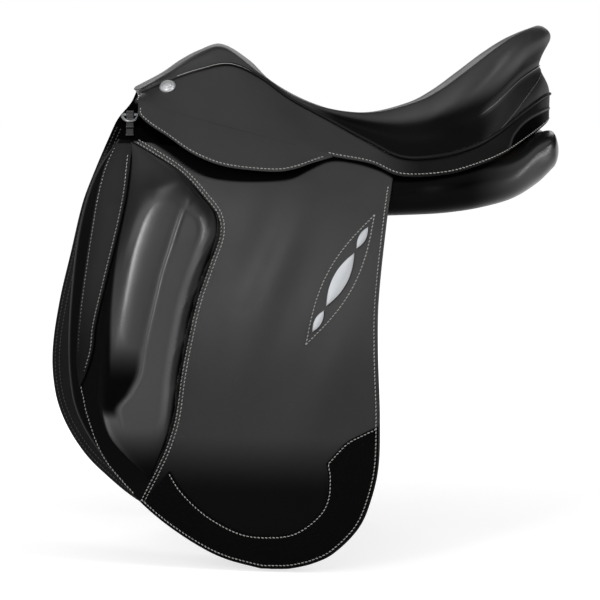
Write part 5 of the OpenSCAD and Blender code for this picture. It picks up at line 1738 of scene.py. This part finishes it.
@dataclass
class Tree:
    """The inner frame: the tree, its steel, its webs and the lining of the channel."""

    finishes: Finishes
    seat: Seat
    lining_t: float = 2.5
    lining_depth: float = 16.4
    web_spread: float = 0.36
    web_mid: float = 2.8
    web_t: float = 4.0
    web_end: float = 16.0
    web_stations: tuple[float, float] = (5.86, 7.02)
    web_places: tuple[float, ...] = (1.0, 0.97, 0.75, 0.55, 0.43, 0.3, 0.16, 0.08)
    web_hang: tuple[float, ...] = (56.8, 48.8, 40.8)

    def build_lining(self) -> None:
        """The channel's lining: a sheet under the rails from one panel to the other."""
        t = np.linspace(4.5, 12.6, 90)
        w = 0.45 + 0.55 * np.linspace(0, 1, 24)
        depth = self.lining_depth + self.lining_t / 2
        half = self.seat.under(*np.meshgrid(t, w, indexing="ij"), depth)
        net = np.concatenate([half, (half * FLIP)[:, -2::-1]], axis=1)
        shell = plain_sheet(net, self.lining_t)
        add_piece("channel_lining_hide", shell, self.finishes.lining, "saddle", ("channel_lining",))

    def build_web(self, name: str, station: float, x: float) -> None:
        """A girth web: a woven strip laid over the rails from side to side, with its two ends hanging to the straps.

        Args:
            name: front or rear.
            station: the seat's station at its middle.
            x: place of its straps along the horse.
        """
        s = np.linspace(-1, 1, 15)
        over = [self.seat.under(station + self.web_spread * s, np.full_like(s, w), self.web_mid)
                for w in self.web_places]
        hang = [SIDE.point(x + self.web_end * s, np.full_like(s, z), LAYERS.strap_mid) for z in self.web_hang]
        half = np.stack(over + hang)
        net = np.concatenate([(half * FLIP)[:0:-1], half])
        shell = plain_sheet(net, self.web_t)
        add_piece(f"web_{name}_strip", shell, self.finishes.webbing, "saddle", (f"girth_web_{name}",))

    def dress(self) -> None:
        """Gives every model node that stays in view its material."""
        finish = {"tree_": self.finishes.beech, "catch_": self.finishes.nickel, "front_dee": self.finishes.nickel}
        finish |= dict.fromkeys(("gullet_", "head_rivets", "spring_", "stirrup_", "bar_"), self.finishes.steel)
        for name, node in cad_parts.items():
            if node.hide_render:
                continue
            material = next((m for start, m in finish.items() if name.startswith(start)), self.finishes.lining)
            node.data.materials.clear()
            node.data.materials.append(material)
            log.info("%s: dressed in %s", name, material.name)

    def build(self) -> None:
        """Builds the lining and the webs, and dresses the nodes."""
        self.build_lining()
        for (name, x), station in zip(SIZES.strap_x, self.web_stations):
            self.build_web(name, station, x)
        self.dress()


# Studio

@dataclass(frozen=True)
class Lamp:
    """A soft box: an area light that looks at a point."""

    name: str
    place: tuple[float, float, float]
    target: tuple[float, float, float]
    size: tuple[float, float]
    power: float

    def build(self) -> None:
        """Adds the light, turned to its target."""
        data = bpy.data.lights.new(self.name, "AREA")
        data.shape = "RECTANGLE"
        data.size, data.size_y = self.size
        data.energy = self.power
        lamp = add_object(self.name, data)
        lamp.location = self.place
        aim = Vector(self.target) - Vector(self.place)
        lamp.rotation_euler = aim.to_track_quat("-Z", "Y").to_euler()


@dataclass
class Studio:
    """Pale floor, soft boxes and the camera at the photograph's angle."""

    camera_place: tuple[float, float, float] = (-0.0779, -2.9927, 0.1067)
    pitch: float = 4.0
    lens: float = 161.4
    sensor: float = 36.0
    clip_end: float = 200.0
    floor_z: float = -0.376
    floor_half: float = 80.0
    lamps: tuple[Lamp, ...] = (
        Lamp("key_box", (-0.1, -0.8, 2.0), (-0.08, 0.0, 0.0), (2.4, 2.3), 18.0),
        Lamp("front_box", (-0.5, -2.5, 1.1), (-0.1, 0.0, -0.1), (2.2, 1.2), 9.0),
        Lamp("ridge_strip", (-1.25, -2.4, 0.75), (-0.25, -0.15, -0.05), (0.28, 1.6), 24.0),
        Lamp("left_box", (-1.9, -0.7, 1.2), (-0.2, -0.15, 0.0), (2.0, 1.4), 11.0),
        Lamp("right_strip", (1.9, -1.3, 0.75), (0.0, -0.15, -0.05), (0.3, 2.2), 30.0),
        Lamp("back_box", (-0.1, 2.4, 1.3), (0.0, 0.0, 0.0), (2.4, 1.4), 18.0))

    def camera(self) -> None:
        """The camera: level with the saddle, looking slightly down along +Y."""
        data = bpy.data.cameras.new("camera")
        data.lens, data.sensor_width = self.lens, self.sensor
        data.clip_end = self.clip_end
        camera = add_object("camera", data)
        camera.location = self.camera_place
        camera.rotation_euler = (math.radians(90.0 - self.pitch), 0.0, 0.0)
        bpy.context.scene.camera = camera

    def floor(self) -> None:
        """A pale matt floor; rays from the eye, gloss and glass also get a white glow, so its shadow stays soft."""
        mesh = bpy.data.meshes.new("floor")
        corners = [(-1, -1), (1, -1), (1, 1), (-1, 1)]
        mesh.from_pydata([(x * self.floor_half, y * self.floor_half, self.floor_z) for x, y in corners], [],
                         [(0, 1, 2, 3)])
        material, tree = new_material("pale_studio_floor")
        path = add_node(tree, "LightPath")
        seen = add_node(tree, "Math", {"operation": "MAXIMUM"},
                        {0: path.outputs["Is Camera Ray"], 1: path.outputs["Is Glossy Ray"]})
        seen = add_node(tree, "Math", {"operation": "MAXIMUM"},
                        {0: seen.outputs[0], 1: path.outputs["Is Transmission Ray"]})
        place = add_node(tree, "TexCoord").outputs["Object"]
        away = add_node(tree, "VectorMath", {"operation": "LENGTH"}, {0: place})
        far = add_node(tree, "MapRange",
                       {"interpolation_type": "SMOOTHSTEP", "From Min": 0.45, "From Max": 1.5, "To Min": 0.7,
                        "To Max": 1.0}, {"Value": away.outputs["Value"]})
        glow = add_node(tree, "Math", {"operation": "MULTIPLY"}, {0: seen.outputs[0], 1: far.outputs[0]})
        shader = add_node(tree, "BsdfPrincipled",
                          {"Base Color": linear("#bcbcbc"), "Roughness": 0.9, "Specular IOR Level": 0.0,
                           "Emission Color": linear("#ffffff")}, {"Emission Strength": glow.outputs[0]})
        add_node(tree, "OutputMaterial", links={"Surface": shader.outputs["BSDF"]})
        mesh.materials.append(material)
        floor = add_object("floor", mesh)

    def world(self) -> None:
        """Dim grey surroundings with a white band round the horizon, as of a pale wall far away."""
        world = bpy.data.worlds.new("studio")
        bpy.context.scene.world = world
        world.use_nodes = True
        tree = world.node_tree
        tree.nodes.clear()
        place = add_node(tree, "TexCoord").outputs["Generated"]
        height = add_node(tree, "SeparateXYZ", links={0: place}).outputs["Z"]
        band = add_node(tree, "MapRange",
                        {"interpolation_type": "SMOOTHSTEP", "From Min": 0.08, "From Max": 0.2, "To Min": 1.0,
                         "To Max": 0.03}, {"Value": height})
        light = add_node(tree, "Background", {"Color": linear("#ffffff")}, {"Strength": band.outputs[0]})
        add_node(tree, "OutputWorld", links={"Surface": light.outputs[0]})

    def build(self) -> None:
        """Sets up the camera, the floor, the surroundings and the lamps."""
        bpy.context.scene.view_settings.view_transform = "Standard"
        self.camera()
        self.floor()
        self.world()
        for lamp in self.lamps:
            lamp.build()


def main() -> None:
    """Builds the studio and every sub-assembly in order."""
    logging.basicConfig(level=logging.INFO, format="%(name)s: %(message)s")
    Studio().build()
    finishes = Finishes()
    seat = Seat(finishes)
    seat.build()
    for side in Side:
        Flap(finishes, side).build()
        Underside(finishes, side).build()
    Tree(finishes, seat).build()


if __name__ == "__main__":
    main()
